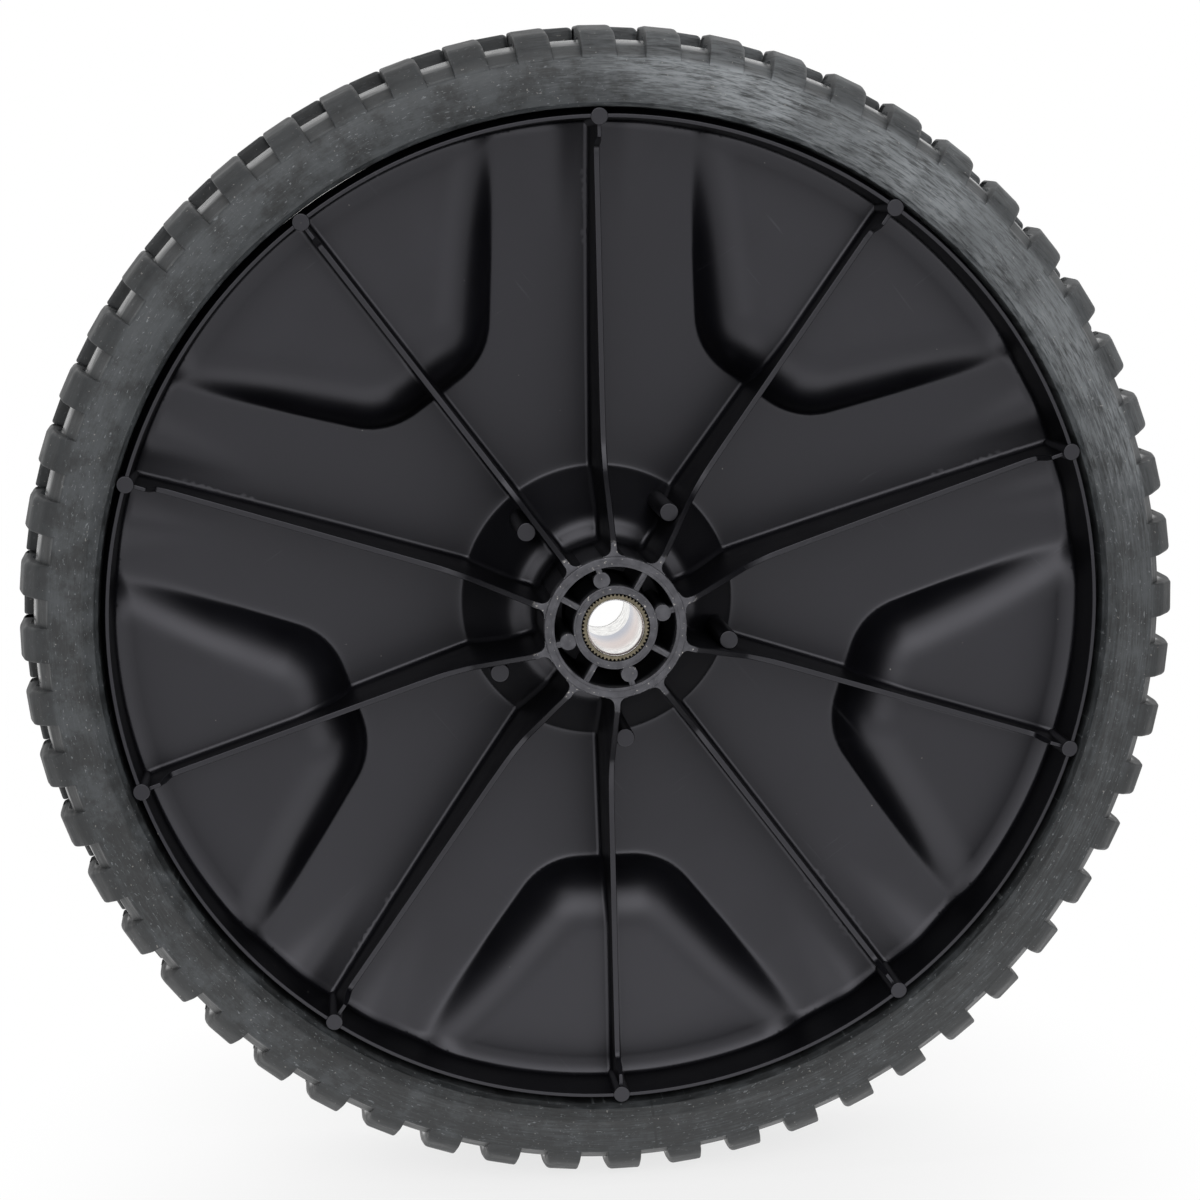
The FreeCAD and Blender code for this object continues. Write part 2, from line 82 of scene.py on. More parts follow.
class WheelSizes(bpy.types.PropertyGroup):
    """Sizes of the wheel's visible forms."""

    rim_inner: length("Rim inside", 0.1177, "Radius of the rim's inside wall")
    rim_edge: length("Rim edge", 0.1187, "Radius of the rim's edge at its end")
    rim_outer: length("Rim outside", 0.1202, "Radius of the seat that the tyre sits on")
    dome_radius: length("Web curve", 0.440, "Radius of the web's dished section")
    web_wall: length("Web wall", 0.003, "Thickness of the web")
    ring_radius: length("Hub ring", 0.0168, "Outside radius of the hub ring")
    ring_inside: length("Hub ring inside", 0.0144, "Inside radius of the hub ring")
    tube_radius: length("Hub tube", 0.00995, "Outside radius of the hub tube")
    tube_bore: length("Hub tube bore", 0.00805, "Bore of the hub tube")
    hub_rise: length("Hub rise", 0.0105, "How far the hub stands in front of the rim's edge")
    ledge_depth: length("Ledge depth", 0.0162, "Depth of the ledge round the hub ring")
    cone_top: length("Cone top", 0.0224, "Radius where the hub cone starts")
    cone_foot: length("Cone foot", 0.034, "Radius where the hub cone meets the web")
    cone_foot_depth: length("Cone foot depth", 0.0322, "Depth of the web at the cone's foot")
    rib_width: length("Rib width", 0.00145, "Thickness of a rib")
    rib_depth: length("Rib depth", 0.008, "Depth of a rib's straight top edge below the rim's edge")
    rib_foot_round: length("Rib foot rounding", 0.0013, "Radius of the fillet at a rib's foot")
    rib_root_round: length("Rib root rounding", 0.0019, "Radius of the fillet where a rib meets the ring")
    window_depth: length("Window depth", 0.0152, "Depth of a window panel below the rim's edge")
    window_inner: length("Window inner side", 0.0702, "Distance of a panel's inner side from the axle")
    window_half: length("Window half width", 0.0131, "Half width of a panel at its inner side")
    window_corner: length("Window corner", 0.014, "Corner radius of a panel's outline")
    window_brow: length("Window brow", 0.016, "Radius of a panel's brow")
    rim_ramp_window: length("Rim ramp at windows", 0.0043, "Width of a panel's rise at the rim's wall")
    rim_ramp_web: length("Rim ramp at web", 0.0022, "Width of the web's rise at the rim's wall")
    tyre_radius: length("Tyre radius", 0.1397, "Radius over the lugs")
    lug_width: length("Lug width", 0.0082, "Width of a tread lug")
    sleeve_radius: length("Sleeve radius", 0.008, "Radius over the sleeve's knurl")
    bore_radius: length("Axle bore", 0.00635, "Radius of the axle bore")
    knurl_depth: length("Knurl depth", 0.00045, "Depth of the sleeve's knurl")
    lug_count: bpy.props.IntProperty(name="Lugs", description="Lugs in each row", default=56, min=8)
    knurl_count: bpy.props.IntProperty(
        name="Knurl teeth", description="Teeth of the knurl", default=52, min=8)


class WheelColours(bpy.types.PropertyGroup):
    """Colours of the wheel's materials."""

    plastic: colour("Plastic", (0.0022, 0.0022, 0.0032), "Black plastic of the disc")
    plastic_worn: colour("Worn plastic", (0.080, 0.080, 0.088), "Scuffed plastic on edges and tips")
    dust: colour("Dust", (0.42, 0.40, 0.37), "Dust specks")
    rubber: colour("Rubber", (0.0270, 0.0298, 0.0322), "Dark grey rubber of the tyre")
    rubber_scuffed: colour("Scuffed rubber", (0.300, 0.320, 0.335), "Lighter streaks along the sidewall")
    sleeve: colour("Sleeve", (0.185, 0.163, 0.118), "Plated metal of the sleeve's end")
    polished: colour("Polished metal", (0.930, 0.920, 0.895), "Polished metal of the axle bore")
    # the bore's two tints are painted reflection and shade on its polished wall
    bore_reflection_warm: colour("Bore middle", (0.580, 0.470, 0.440), "Tint of the bore's middle")
    bore_reflection_cool: colour("Bore back", (0.330, 0.345, 0.420), "Tint of the bore's back end")
    floor: colour("Floor", (0.90, 0.90, 0.90), "Pale floor")
    scuffs: share("Scuffs", 0.75, "How strong the tyre's scuffs show")
    scratches: share("Scratches", 0.16, "How strong the plastic's scratches show")


def millimetres(name):
    return getattr(bpy.context.scene.wheel_sizes, name) / MM


# shells: points, surface directions and faces in millimetres, as seen from the wheel's inner face


class Shell:
    """Collects the faces of one piece: x to the right, z up, lift towards the viewer."""

    def __init__(self):
        self.points = []
        self.directions = []
        self.faces = []
        self.marks = []
        self.count = 0

    def add(self, points, directions, faces, mark=0):
        points = np.asarray(points, dtype=float)
        directions = np.asarray(directions, dtype=float)
        lengths = np.linalg.norm(directions, axis=1, keepdims=True)
        self.points.append(points)
        self.directions.append(directions / np.maximum(lengths, 1e-9))
        self.faces.extend([tuple(self.count + corner for corner in face) for face in faces])
        self.marks.extend([mark] * len(faces))
        self.count += len(points)

    def add_turned(self, points, directions, faces, angle, mirrored=False, mark=0):
        """Add points given along an axis of their own, turned to a clock angle."""
        points = np.array(points, dtype=float)
        directions = np.array(directions, dtype=float)
        if mirrored:
            points[:, 1] *= -1.0
            directions[:, 1] *= -1.0
            faces = flipped(faces)
        turn = turning(angle)
        self.add(points @ turn.T, directions @ turn.T, faces, mark)

    def build(self, name):
        points = np.concatenate(self.points)
        directions = np.concatenate(self.directions)
        placed = np.column_stack((points[:, 0], -(points[:, 2] + EDGE_LEVEL), points[:, 1])) * MM
        facing = np.column_stack((directions[:, 0], -directions[:, 2], directions[:, 1]))
        mesh = bpy.data.meshes.new(name)
        mesh.from_pydata(placed.tolist(), [], self.faces)
        mesh.polygons.foreach_set("material_index", np.array(self.marks, dtype=np.int32))
        mesh.shade_smooth()
        mesh.normals_split_custom_set_from_vertices(facing.tolist())
        mesh.update()
        piece = bpy.data.objects.new(name, mesh)
        bpy.context.scene.collection.objects.link(piece)
        return piece


def turning(angle):
    cosine = math.cos(angle)
    sine = math.sin(angle)
    return np.array([[cosine, -sine, 0.0], [sine, cosine, 0.0], [0.0, 0.0, 1.0]])


def rounded_path(corners, step=math.radians(15.0)):
    """Stations (radius, lift, direction) along a section whose corners are rounded; outside is left."""
    spots = [np.array(corner[:2], dtype=float) for corner in corners]
    stations = []
    for number, spot in enumerate(spots):
        if number == 0 or number == len(spots) - 1:
            other = spots[1] if number == 0 else spots[-2]
            way = (other - spot) if number == 0 else (spot - other)
            way = way / np.linalg.norm(way)
            stations.append((spot[0], spot[1], -way[1], way[0]))
            continue
        before = spot - spots[number - 1]
        after = spots[number + 1] - spot
        before = before / np.linalg.norm(before)
        after = after / np.linalg.norm(after)
        radius = corners[number][2] if len(corners[number]) > 2 else 0.0
        bend = math.atan2(before[0] * after[1] - before[1] * after[0], float(before @ after))
        if radius == 0.0 or abs(bend) < 1e-6:
            stations.append((spot[0], spot[1], -before[1], before[0]))
            stations.append((spot[0], spot[1], -after[1], after[0]))
            continue
        start = spot - before * radius * math.tan(abs(bend) / 2)
        side = math.copysign(1.0, bend)
        centre = start + np.array([-before[1], before[0]]) * radius * side
        pieces = max(2, math.ceil(abs(bend) / step))
        for piece in range(pieces + 1):
            angle = bend * piece / pieces
            cosine = math.cos(angle)
            sine = math.sin(angle)
            normal = np.array([
                -before[1] * cosine - before[0] * sine,
                before[0] * cosine - before[1] * sine,
            ])
            place = centre - normal * radius * side
            stations.append((place[0], place[1], normal[0], normal[1]))
    return stations


def grid_faces(rows, columns, closed=True):
    """Faces between the rows of a grid of points; a closed grid runs round to its start."""
    faces = []
    for row in range(rows - 1):
        for column in range(columns if closed else columns - 1):
            following = (column + 1) % columns
            faces.append((
                row * columns + column,
                (row + 1) * columns + column,
                (row + 1) * columns + following,
                row * columns + following,
            ))
    return faces


def flipped(faces):
    return [tuple(reversed(face)) for face in faces]


def add_lathe(shell, stations, segments, mark=0):
    """Turn a section round the axle."""
    angles = np.arange(segments) * 2 * math.pi / segments
    around = np.column_stack((np.cos(angles), np.sin(angles)))
    points = [np.column_stack((around * radius, np.full(segments, lift))) for radius, lift, _, _ in stations]
    directions = [np.column_stack((around * out, np.full(segments, up))) for _, _, out, up in stations]
    gaps = np.linalg.norm(np.diff(np.array(stations)[:, :2], axis=0), axis=1)
    faces = grid_faces(len(stations), segments)
    faces = [face for face in faces if gaps[face[0] // segments] >= SAME_PLACE]
    shell.add(np.concatenate(points), np.concatenate(directions), faces, mark)


def add_pillar(shell, outline, sides, bottom, top, edge):
    """A post of any rounded outline with a softened top edge."""
    outline = np.asarray(outline)
    sides = np.asarray(sides)
    count = len(outline)
    levels = [(0.0, bottom, 0.0), (0.0, top - edge, 0.0)]  # inset, lift and lean of each ring
    for angle in (22.5, 45.0, 67.5, 90.0):
        lean = math.radians(angle)
        levels.append((edge * (1 - math.cos(lean)), top - edge + edge * math.sin(lean), lean))
    points = []
    directions = []
    for inset, lift, lean in levels:
        points.append(np.column_stack((outline - sides * inset, np.zeros(count) + lift)))
        directions.append(np.column_stack((sides * math.cos(lean), np.full(count, math.sin(lean)))))
    faces = [(low, side, over, high) for low, high, over, side in grid_faces(len(levels), count)]
    last = (len(levels) - 1) * count
    faces.append(tuple(range(last, last + count)))
    shell.add(np.concatenate(points), np.concatenate(directions), faces)


def circle_outline(centre, radius, count=28):
    angles = np.arange(count) * 2 * math.pi / count
    sides = np.column_stack((np.cos(angles), np.sin(angles)))
    return np.asarray(centre) + sides * radius, sides


def bar_outline(start, end, half, corner):
    """A straight bar seen from the front, with rounded corners."""
    start = np.asarray(start, dtype=float)
    end = np.asarray(end, dtype=float)
    along = (end - start) / np.linalg.norm(end - start)
    across = np.array([-along[1], along[0]])
    middle = (start + end) / 2
    reach = np.linalg.norm(end - start) / 2
    outline = []
    sides = []
    for right, up, first in ((1, 1, 0), (-1, 1, 90), (-1, -1, 180), (1, -1, 270)):
        for angle in (0, 30, 60, 90):
            lean = math.radians(first + angle)
            side = along * math.cos(lean) + across * math.sin(lean)
            spot = middle + along * right * (reach - corner) + across * up * (half - corner) + side * corner
            outline.append(spot)
            sides.append(side)
    return outline, sides


# heights of the disc's faces over one window's own axes


def fillet_rise(distance, radius):
    """Rise of a hollow fillet at a distance from the wall that it meets."""
    reach = np.clip(radius - distance, 0.0, radius)
    return radius - np.sqrt(np.maximum(radius ** 2 - reach ** 2, 0.0))


def soft_max(first, second, softness):
    return (first + second + np.sqrt((first - second) ** 2 + softness ** 2)) / 2


def soft_min(first, second, softness):
    return (first + second - np.sqrt((first - second) ** 2 + softness ** 2)) / 2


def smooth_step(value, low, high):
    place = np.clip((value - low) / (high - low), 0.0, 1.0)
    return place * place * (3.0 - 2.0 * place)


class DiscForm:
    """The disc's surface as heights; u runs along a window's middle, v across it."""

    flank = math.radians(42.3)
    wall_lean = math.radians(70.0)
    hollow_inset = 2.1
    hollow_brow = 4.5
    hub_end = 16.55
    swell_start = 88.0
    swell_rise = 1.4
    swell_growth = 1.7
    swell_width = 2.0
    swell_spread = 3.4
    swell_angle = math.radians(5.2)
    straight_from = 92.0
    wall_shift = 0.15
    window_foot = 1.5
    ramp_bend = 2.0
    rim_corner = 0.7
    dome_middle = 2.0
    ledge_softness = 3.0
    cone_softness = 0.8
    ring_foot_round = 3.4
    pocket_floor = -13.5
    cup_floor = -16.5
    cup_radius = 19.0
    back_foot = 32.6
    back_foot_depth = 35.2
    back_softness = 0.9
    back_rim_round = 1.2
    rib_edge = 0.3
    rib_end_start = 112.5
    rib_end_full = 113.2
    rib_end_narrowing = 0.3
    tube_end = -30.0

    def __init__(self):
        for name in (
            "rim_inner", "dome_radius", "web_wall", "ring_radius", "hub_rise", "ledge_depth", "cone_top",
            "cone_foot", "cone_foot_depth", "rib_width", "rib_depth", "rib_foot_round", "rib_root_round",
            "window_depth", "window_inner", "window_half", "window_corner", "window_brow",
            "rim_ramp_window", "rim_ramp_web",
        ):
            setattr(self, name, millimetres(name))
        reach = self.cone_foot - self.dome_middle
        self.dome_centre = -self.cone_foot_depth + math.sqrt(self.dome_radius ** 2 - reach ** 2)
        self.rib_path = rounded_path([
            (10.0, 10.0),
            (19.9, 10.0, 0.9),
            (35.6, -4.9, 8.0),
            (41.0, -self.rib_depth + 0.55, 10.0),
            (50.0, -self.rib_depth, 4.0),
            (111.2, -self.rib_depth, 1.6),
            (113.3, -1.0, 0.5),
            (119.0, -1.0),
        ], math.radians(6.0))

    def dome(self, radius):
        return self.dome_centre - np.sqrt(self.dome_radius ** 2 - (radius - self.dome_middle) ** 2)

    def side_at(self, u):
        """Half width of a panel's outline before its corners are rounded."""
        return self.window_half + (u - self.window_inner) * math.tan(self.flank)

    def corner_at(self, inset):
        """Radius and centre of the rounded corner of a panel's outline."""
        corner = self.window_corner - inset
        centre_u = self.window_inner + inset + corner
        return corner, centre_u, self.side_at(centre_u) - (corner + inset) / math.cos(self.flank)

    def inside_window(self, u, v, inset=0.0):
        """Distance inside a panel's outline, below zero outside it."""
        v = np.abs(v)
        inner = u - self.window_inner - inset
        side = (self.side_at(u) - v) * math.cos(self.flank) - inset
        corner, centre_u, centre_v = self.corner_at(inset)
        off_u = u - centre_u
        off_v = v - centre_v
        towards_side = -off_u * math.cos(self.flank) - off_v * math.sin(self.flank)
        in_corner = (off_v > 0.0) & (towards_side > 0.0)
        return np.where(in_corner, corner - np.hypot(off_u, off_v), np.minimum(inner, side))

    def brow(self, inside, radius):
        """Drop of a panel's surface at a distance inside its outline."""
        run = radius * math.tan(self.wall_lean / 2)
        low = -run * math.cos(self.wall_lean)
        bend = np.clip(run - inside, 0.0, run - low)
        drop = -(radius - np.sqrt(radius ** 2 - bend ** 2))
        wall = inside * math.tan(self.wall_lean)
        return np.where(inside < low, wall, drop)

    def rib_half(self, along):
        return self.rib_width / 2 + fillet_rise(along - self.ring_radius, self.rib_root_round)

    def rib_axes(self, u, v):
        """Places along and across the window's rib, then along and across the web's rib."""
        return u, v, u * HALF_COSINE + v * HALF_SINE, u * HALF_SINE - v * HALF_COSINE

    def inner_height(self, u, v):
        radius = np.hypot(u, v)
        along, across, other_along, other_across = self.rib_axes(u, v)
        run = (self.cone_foot_depth - self.ledge_depth) / (self.cone_foot - self.cone_top)
        cone = -self.ledge_depth - (radius - self.cone_top) * run
        hub = soft_min(cone, np.full_like(radius, -self.ledge_depth), self.ledge_softness)
        height = soft_max(self.dome(radius), hub, self.cone_softness)
        # towards the rim the wall moves out, so that its foot stays straight on the rising web
        rise = np.maximum(self.dome(radius) - self.dome(self.straight_from), 0.0)
        inside = self.inside_window(u, v) + self.wall_shift * rise ** 1.5
        panel = -self.window_depth + self.brow(inside, self.window_brow)
        reach = np.clip((radius - self.swell_start) / (self.rim_inner - self.swell_start), 0.0, 1.0)
        off_middle = other_across - radius * self.swell_angle
        width = self.swell_width + self.swell_spread * reach
        swell = self.swell_rise * reach ** self.swell_growth * np.exp(-(off_middle / width) ** 2)
        height = soft_max(height + swell, panel, self.window_foot)
        over = smooth_step(inside, -1.0, 6.0)
        ramp = self.rim_ramp_web + (self.rim_ramp_window - self.rim_ramp_web) * over
        bend = ramp * self.ramp_bend
        run = np.clip(radius - self.rim_inner + ramp, 0.0, ramp)
        height = height + bend - np.sqrt(bend ** 2 - run ** 2)
        height = height + fillet_rise(self.rim_inner - radius, self.rim_corner)
        height = height + fillet_rise(radius - self.ring_radius, self.ring_foot_round)
        height = height + fillet_rise(across - self.rib_half(along), self.rib_foot_round)
        return height + fillet_rise(other_across - self.rib_half(other_along), self.rib_foot_round)

    def outer_height(self, u, v):
        radius = np.hypot(u, v)
        run = (self.back_foot_depth + self.cup_floor) / (self.back_foot - self.cup_radius)
        cone = self.cup_floor - (radius - self.cup_radius) * run
        hub = soft_min(cone, np.full_like(radius, self.cup_floor), 0.8)
        height = soft_max(self.dome(radius) - self.web_wall, hub, 1.0)
        inside = self.inside_window(u, v, self.hollow_inset)
        hollow = -self.window_depth - self.web_wall + self.brow(inside, self.hollow_brow)
        height = soft_max(height, hollow, self.back_softness)
        return height - fillet_rise(self.rim_inner - radius, self.back_rim_round)

    def rib_top(self, along):
        """Height and direction of a rib's top edge."""
        path = np.array(self.rib_path)
        return [np.interp(along, path[:, 0], path[:, column]) for column in (1, 2, 3)]


def spaced(*runs):
    """Places in a row, each run given as start, end and spacing."""
    places = []
    for start, end, gap in runs:
        pieces = max(1, round((end - start) / gap))
        places.extend(start + (end - start) * piece / pieces for piece in range(pieces))
    places.append(runs[-1][1])
    return np.array(places)


# points of the disc's faces, closer together where the surface bends

RIM_INSETS = (0.06, 0.17, 0.32, 0.5, 0.7, 1.0, 1.5, 2.0, 2.5, 3.1, 3.7, 4.4, 5.0)
LEDGE_RADII = (17.05, 17.4, 18.0, 19.4, 20.8, 21.4, 21.9, 22.3, 22.7, 23.2, 24.0)
CONE_RADII = (26.5, 29.0, 31.0, 32.2, 32.9, 33.4, 33.8, 34.2, 34.7, 35.4, 36.4, 38.0)
BACK_RIM_RADII = (117.5, 117.2, 116.8, 116.4)
BACK_HUB_RADII = (18.4, 18.8, 19.2, 19.8, 20.8, 24.0, 28.0, 30.8, 31.8, 32.4, 32.9, 33.6, 34.8)
BACK_START = 18.0
# the farthest that a sector's points reach along and across a window's middle
SECTOR_END = 118.0
SECTOR_SIDE = 70.0
LEAST_CORNER = 0.3
EDGE_MARGIN = 0.04
ON_WALL = 0.01


def arc(radius, first, last, gap):
    """Points on an arc round the axle, without its ends."""
    steps = max(2, round(radius * (last - first) / gap))
    angles = first + (last - first) * np.arange(1, steps) / steps
    return np.column_stack((radius * np.cos(angles), radius * np.sin(angles)))


class SectorBed:
    """Points inside one half of a window's sector, each kept clear of those laid before."""

    cell = 0.5

    def __init__(self, form, boundary, start, rib_half):
        self.form = form
        self.start = start
        self.rib_half = rib_half
        self.points = []
        self.cells = {}
        for u, v in boundary:
            self.note(u, v)

    def cell_of(self, u, v):
        return int(u // self.cell), int(v // self.cell)

    def note(self, u, v):
        self.cells.setdefault(self.cell_of(u, v), []).append((u, v))

    def is_free(self, u, v, clear):
        column, row = self.cell_of(u, v)
        reach = int(clear // self.cell) + 1
        for near_column in range(column - reach, column + reach + 1):
            for near_row in range(row - reach, row + reach + 1):
                for other_u, other_v in self.cells.get((near_column, near_row), ()):
                    if math.hypot(other_u - u, other_v - v) < clear:
                        return False
        return True

    def lay(self, points, margin, clear):
        points = np.asarray(points)
        along, across, other_along, other_across = self.form.rib_axes(points[:, 0], points[:, 1])
        radius = np.hypot(points[:, 0], points[:, 1])
        good = across - self.rib_half(along) > margin
        good &= other_across - self.rib_half(other_along) > margin
        good &= (radius > self.start + margin) & (radius < self.form.rim_inner - margin)
        for u, v in points[good].tolist():
            if self.is_free(u, v, clear):
                self.note(u, v)
                self.points.append((u, v))

    def lay_arcs(self, radii, gap, margin, clear):
        for radius in radii:
            self.lay(arc(radius, 0.0, HALF_SECTOR, gap), margin, clear)

    def lay_rings(self, first, last, step, inset, gap, margin, clear):
        self.lay(window_rings(self.form, np.arange(first, last, step), inset, gap), margin, clear)

    def lay_grid(self, first, gap, margin, clear):
        across = np.arange(0.0, SECTOR_SIDE, gap)
        self.lay([(u, v) for u in np.arange(first, SECTOR_END, gap) for v in across], margin, clear)


def window_rings(form, offsets, inset, gap):
    """Points on lines that keep a distance from a panel's outline, one half of the panel."""
    corner, centre_u, centre_v = form.corner_at(inset)
    turn = math.pi / 2 - form.flank
    points = []
    for offset in offsets:
        radius = corner - offset
        if radius <= LEAST_CORNER:
            continue
        points.extend((centre_u - radius, v) for v in np.arange(0.0, centre_v, gap))
        steps = max(3, round(radius * turn / gap))
        for step in range(steps + 1):
            angle = turn * step / steps
            points.append((centre_u - radius * math.cos(angle), centre_v + radius * math.sin(angle)))
        start_u = centre_u - radius * math.sin(form.flank)
        start_v = centre_v + radius * math.cos(form.flank)
        for run in np.arange(gap, SECTOR_SIDE, gap):
            points.append((start_u + run * math.cos(form.flank), start_v + run * math.sin(form.flank)))
    return points


def plan_triangles(boundary, points):
    """Triangles of a plan inside its boundary, counter-clockwise as seen from the front."""
    spots = [Vector(point) for point in list(boundary) + list(points)]
    edges = [(number, (number + 1) % len(boundary)) for number in range(len(boundary))]
    found = delaunay_2d_cdt(spots, edges, [], 1, 1e-5)
    places = np.array([tuple(spot) for spot in found[0]])
    triangles = []
    for face in found[2]:
        first, second, third = (places[corner] for corner in face[:3])
        ahead = second - first
        beside = third - first
        area = ahead[0] * beside[1] - ahead[1] * beside[0]
        triangles.append(tuple(face) if area > 0 else tuple(reversed(face)))
    return places, triangles


def height_directions(height, places):
    """Surface directions of a height field."""
    step = 0.015
    u = places[:, 0]
    v = places[:, 1]
    slope_u = (height(u + step, v) - height(u - step, v)) / (2 * step)
    slope_v = (height(u, v + step) - height(u, v - step)) / (2 * step)
    return np.column_stack((-slope_u, -slope_v, np.ones(len(places))))


# stretches of a rib from the hub to the rim: start, end and spacing
RIB_RUNS = (
    (19.0, 23.5, 0.5), (23.5, 36.0, 0.9), (36.0, 60.0, 2.0), (60.0, 82.0, 0.9), (82.0, 110.8, 2.0),
    (110.8, 114.2, 0.25),
)


def rib_walls(form):
    """Places along a rib's foot from the hub ring to the rim."""
    start = form.ring_radius
    bend = spaced((0.0, 90.0, 15.0))
    near = start + form.rib_root_round * (1 - np.cos(np.radians(bend)))
    near = near[near < RIB_RUNS[0][0] - 0.2]
    end = math.sqrt(form.rim_inner ** 2 - (form.rib_width / 2) ** 2)
    return np.concatenate((near, spaced(*RIB_RUNS, (RIB_RUNS[-1][1], end, 0.6))))


def beside_web_rib(along, across):
    """Places beside the web's rib in the window's own axes."""
    return np.column_stack((
        along * HALF_COSINE + across * HALF_SINE, along * HALF_SINE - across * HALF_COSINE))


def turn_level(directions, places, chosen, way):
    """Point the chosen directions straight out from the axle or towards it."""
    directions[chosen, :2] = way * places[chosen]
    directions[chosen, 2] = 0.0


def inner_sector(form):
    """One half of a window's sector with the half ribs at both sides."""
    along = rib_walls(form)
    # the rib meets the ring where its flare crosses the ring's wall
    along = along[np.hypot(along, form.rib_half(along)) >= form.ring_radius + 0.02]
    half = form.rib_half(along)
    ring_start = math.atan2(half[0], along[0])
    rim_start = math.atan2(half[-1], along[-1])
    rim_side = arc(form.rim_inner, rim_start, HALF_SECTOR - rim_start, 1.1)
    ring_side = arc(form.ring_radius, ring_start, HALF_SECTOR - ring_start, 0.6)
    web_side = beside_web_rib(along, half)
    boundary = np.concatenate((np.column_stack((along, half)), rim_side, web_side[::-1], ring_side[::-1]))

    bed = SectorBed(form, boundary, form.ring_radius, form.rib_half)
    for lean in (22.0, 44.0, 66.0, 90.0):
        off = half + form.rib_foot_round * (1 - math.cos(math.radians(lean)))
        bed.lay(np.column_stack((along, off)), EDGE_MARGIN, 0.05)
        bed.lay(beside_web_rib(along, off), EDGE_MARGIN, 0.05)
    bed.lay_arcs([form.rim_inner - inset for inset in RIM_INSETS], 1.2, EDGE_MARGIN, 0.1)
    bed.lay_arcs(LEDGE_RADII, 0.7, EDGE_MARGIN, 0.3)
    bed.lay_arcs(CONE_RADII, 1.0, EDGE_MARGIN, 0.3)
    bed.lay_rings(-7.2, -2.3, 0.24, 0.0, 1.5, EDGE_MARGIN, 0.2)
    bed.lay_rings(-2.2, 7.6, 0.6, 0.0, 1.6, EDGE_MARGIN, 0.4)
    swells = []
    for radius in np.arange(form.swell_start, form.rim_inner - RIM_INSETS[-1], 1.2):
        for off in np.arange(-9.0, 9.1, 1.2):
            angle = HALF_SECTOR - form.swell_angle - off / radius
            swells.append((radius * math.cos(angle), radius * math.sin(angle)))
    bed.lay(swells, 0.3, 0.7)
    bed.lay_grid(16.0, 2.4, 0.3, 1.5)

    places, triangles = plan_triangles(boundary, bed.points)
    directions = height_directions(form.inner_height, places)
    radius = np.hypot(places[:, 0], places[:, 1])
    turn_level(directions, places, radius > form.rim_inner - ON_WALL, -1.0)
    turn_level(directions, places, radius < form.ring_radius + ON_WALL, 1.0)
    points = np.column_stack((places, form.inner_height(places[:, 0], places[:, 1])))
    return [(points, directions, triangles, GLOSSY), *rib_strips(form, along)]


def rib_strips(form, along):
    """Walls and tops of the half ribs at both sides, from the web up to the middle of the rib."""
    reach = np.concatenate(([form.hub_end], along, [form.rim_inner + 0.2]))
    count = len(reach)
    level = np.zeros(count)
    top, out, up = form.rib_top(reach)
    widths = form.rib_half(np.maximum(reach, along[0]))
    lean_out = np.gradient(widths, reach)
    edge = np.minimum(form.rib_edge, widths * 0.5)
    near_rim = smooth_step(reach, form.rib_end_start, form.rib_end_full)
    crest = widths * (1 - form.rib_end_narrowing * near_rim)
    feet = np.clip(reach, along[0], along[-1])
    window_axes = ((1.0, 0.0), (0.0, 1.0))
    web_axes = ((HALF_COSINE, HALF_SINE), (HALF_SINE, -HALF_COSINE))
    strips = []
    for axis, across in (window_axes, web_axes):
        foot_spots = np.outer(feet, axis) + np.outer(form.rib_half(feet), across)
        foot_heights = form.inner_height(foot_spots[:, 0], foot_spots[:, 1]) - 0.02
        wall = np.outer(np.ones(count), across) - np.outer(lean_out, axis)
        wall = wall / np.linalg.norm(wall, axis=1, keepdims=True)
        # half width, height and bend of each row, from the foot to the middle of the top
        rows = [(widths, foot_heights, 0.0), (crest, np.maximum(top - edge, foot_heights), 0.0)]
        for lean in (30.0, 60.0, 90.0):
            bend = math.radians(lean)
            rows.append((crest - edge * (1 - math.cos(bend)), top - edge + edge * math.sin(bend), bend))
        rows.append((level, top, math.pi / 2))
        flank = np.column_stack((wall, level))
        crown = np.column_stack((np.outer(out, axis), up))
        points = []
        facing = []
        for row_half, height, bend in rows:
            points.append(np.column_stack((np.outer(reach, axis) + np.outer(row_half, across), height)))
            facing.append(flank * math.cos(bend) + crown * math.sin(bend))
        for first, last, mark in ((0, 2, MATT), (1, len(rows), GLOSSY)):
            faces = grid_faces(last - first, count, closed=False)
            if axis is web_axes[0]:
                faces = flipped(faces)
            strip = [np.concatenate(rows_of[first:last]) for rows_of in (points, facing)]
            strips.append((*strip, faces, mark))
    return strips


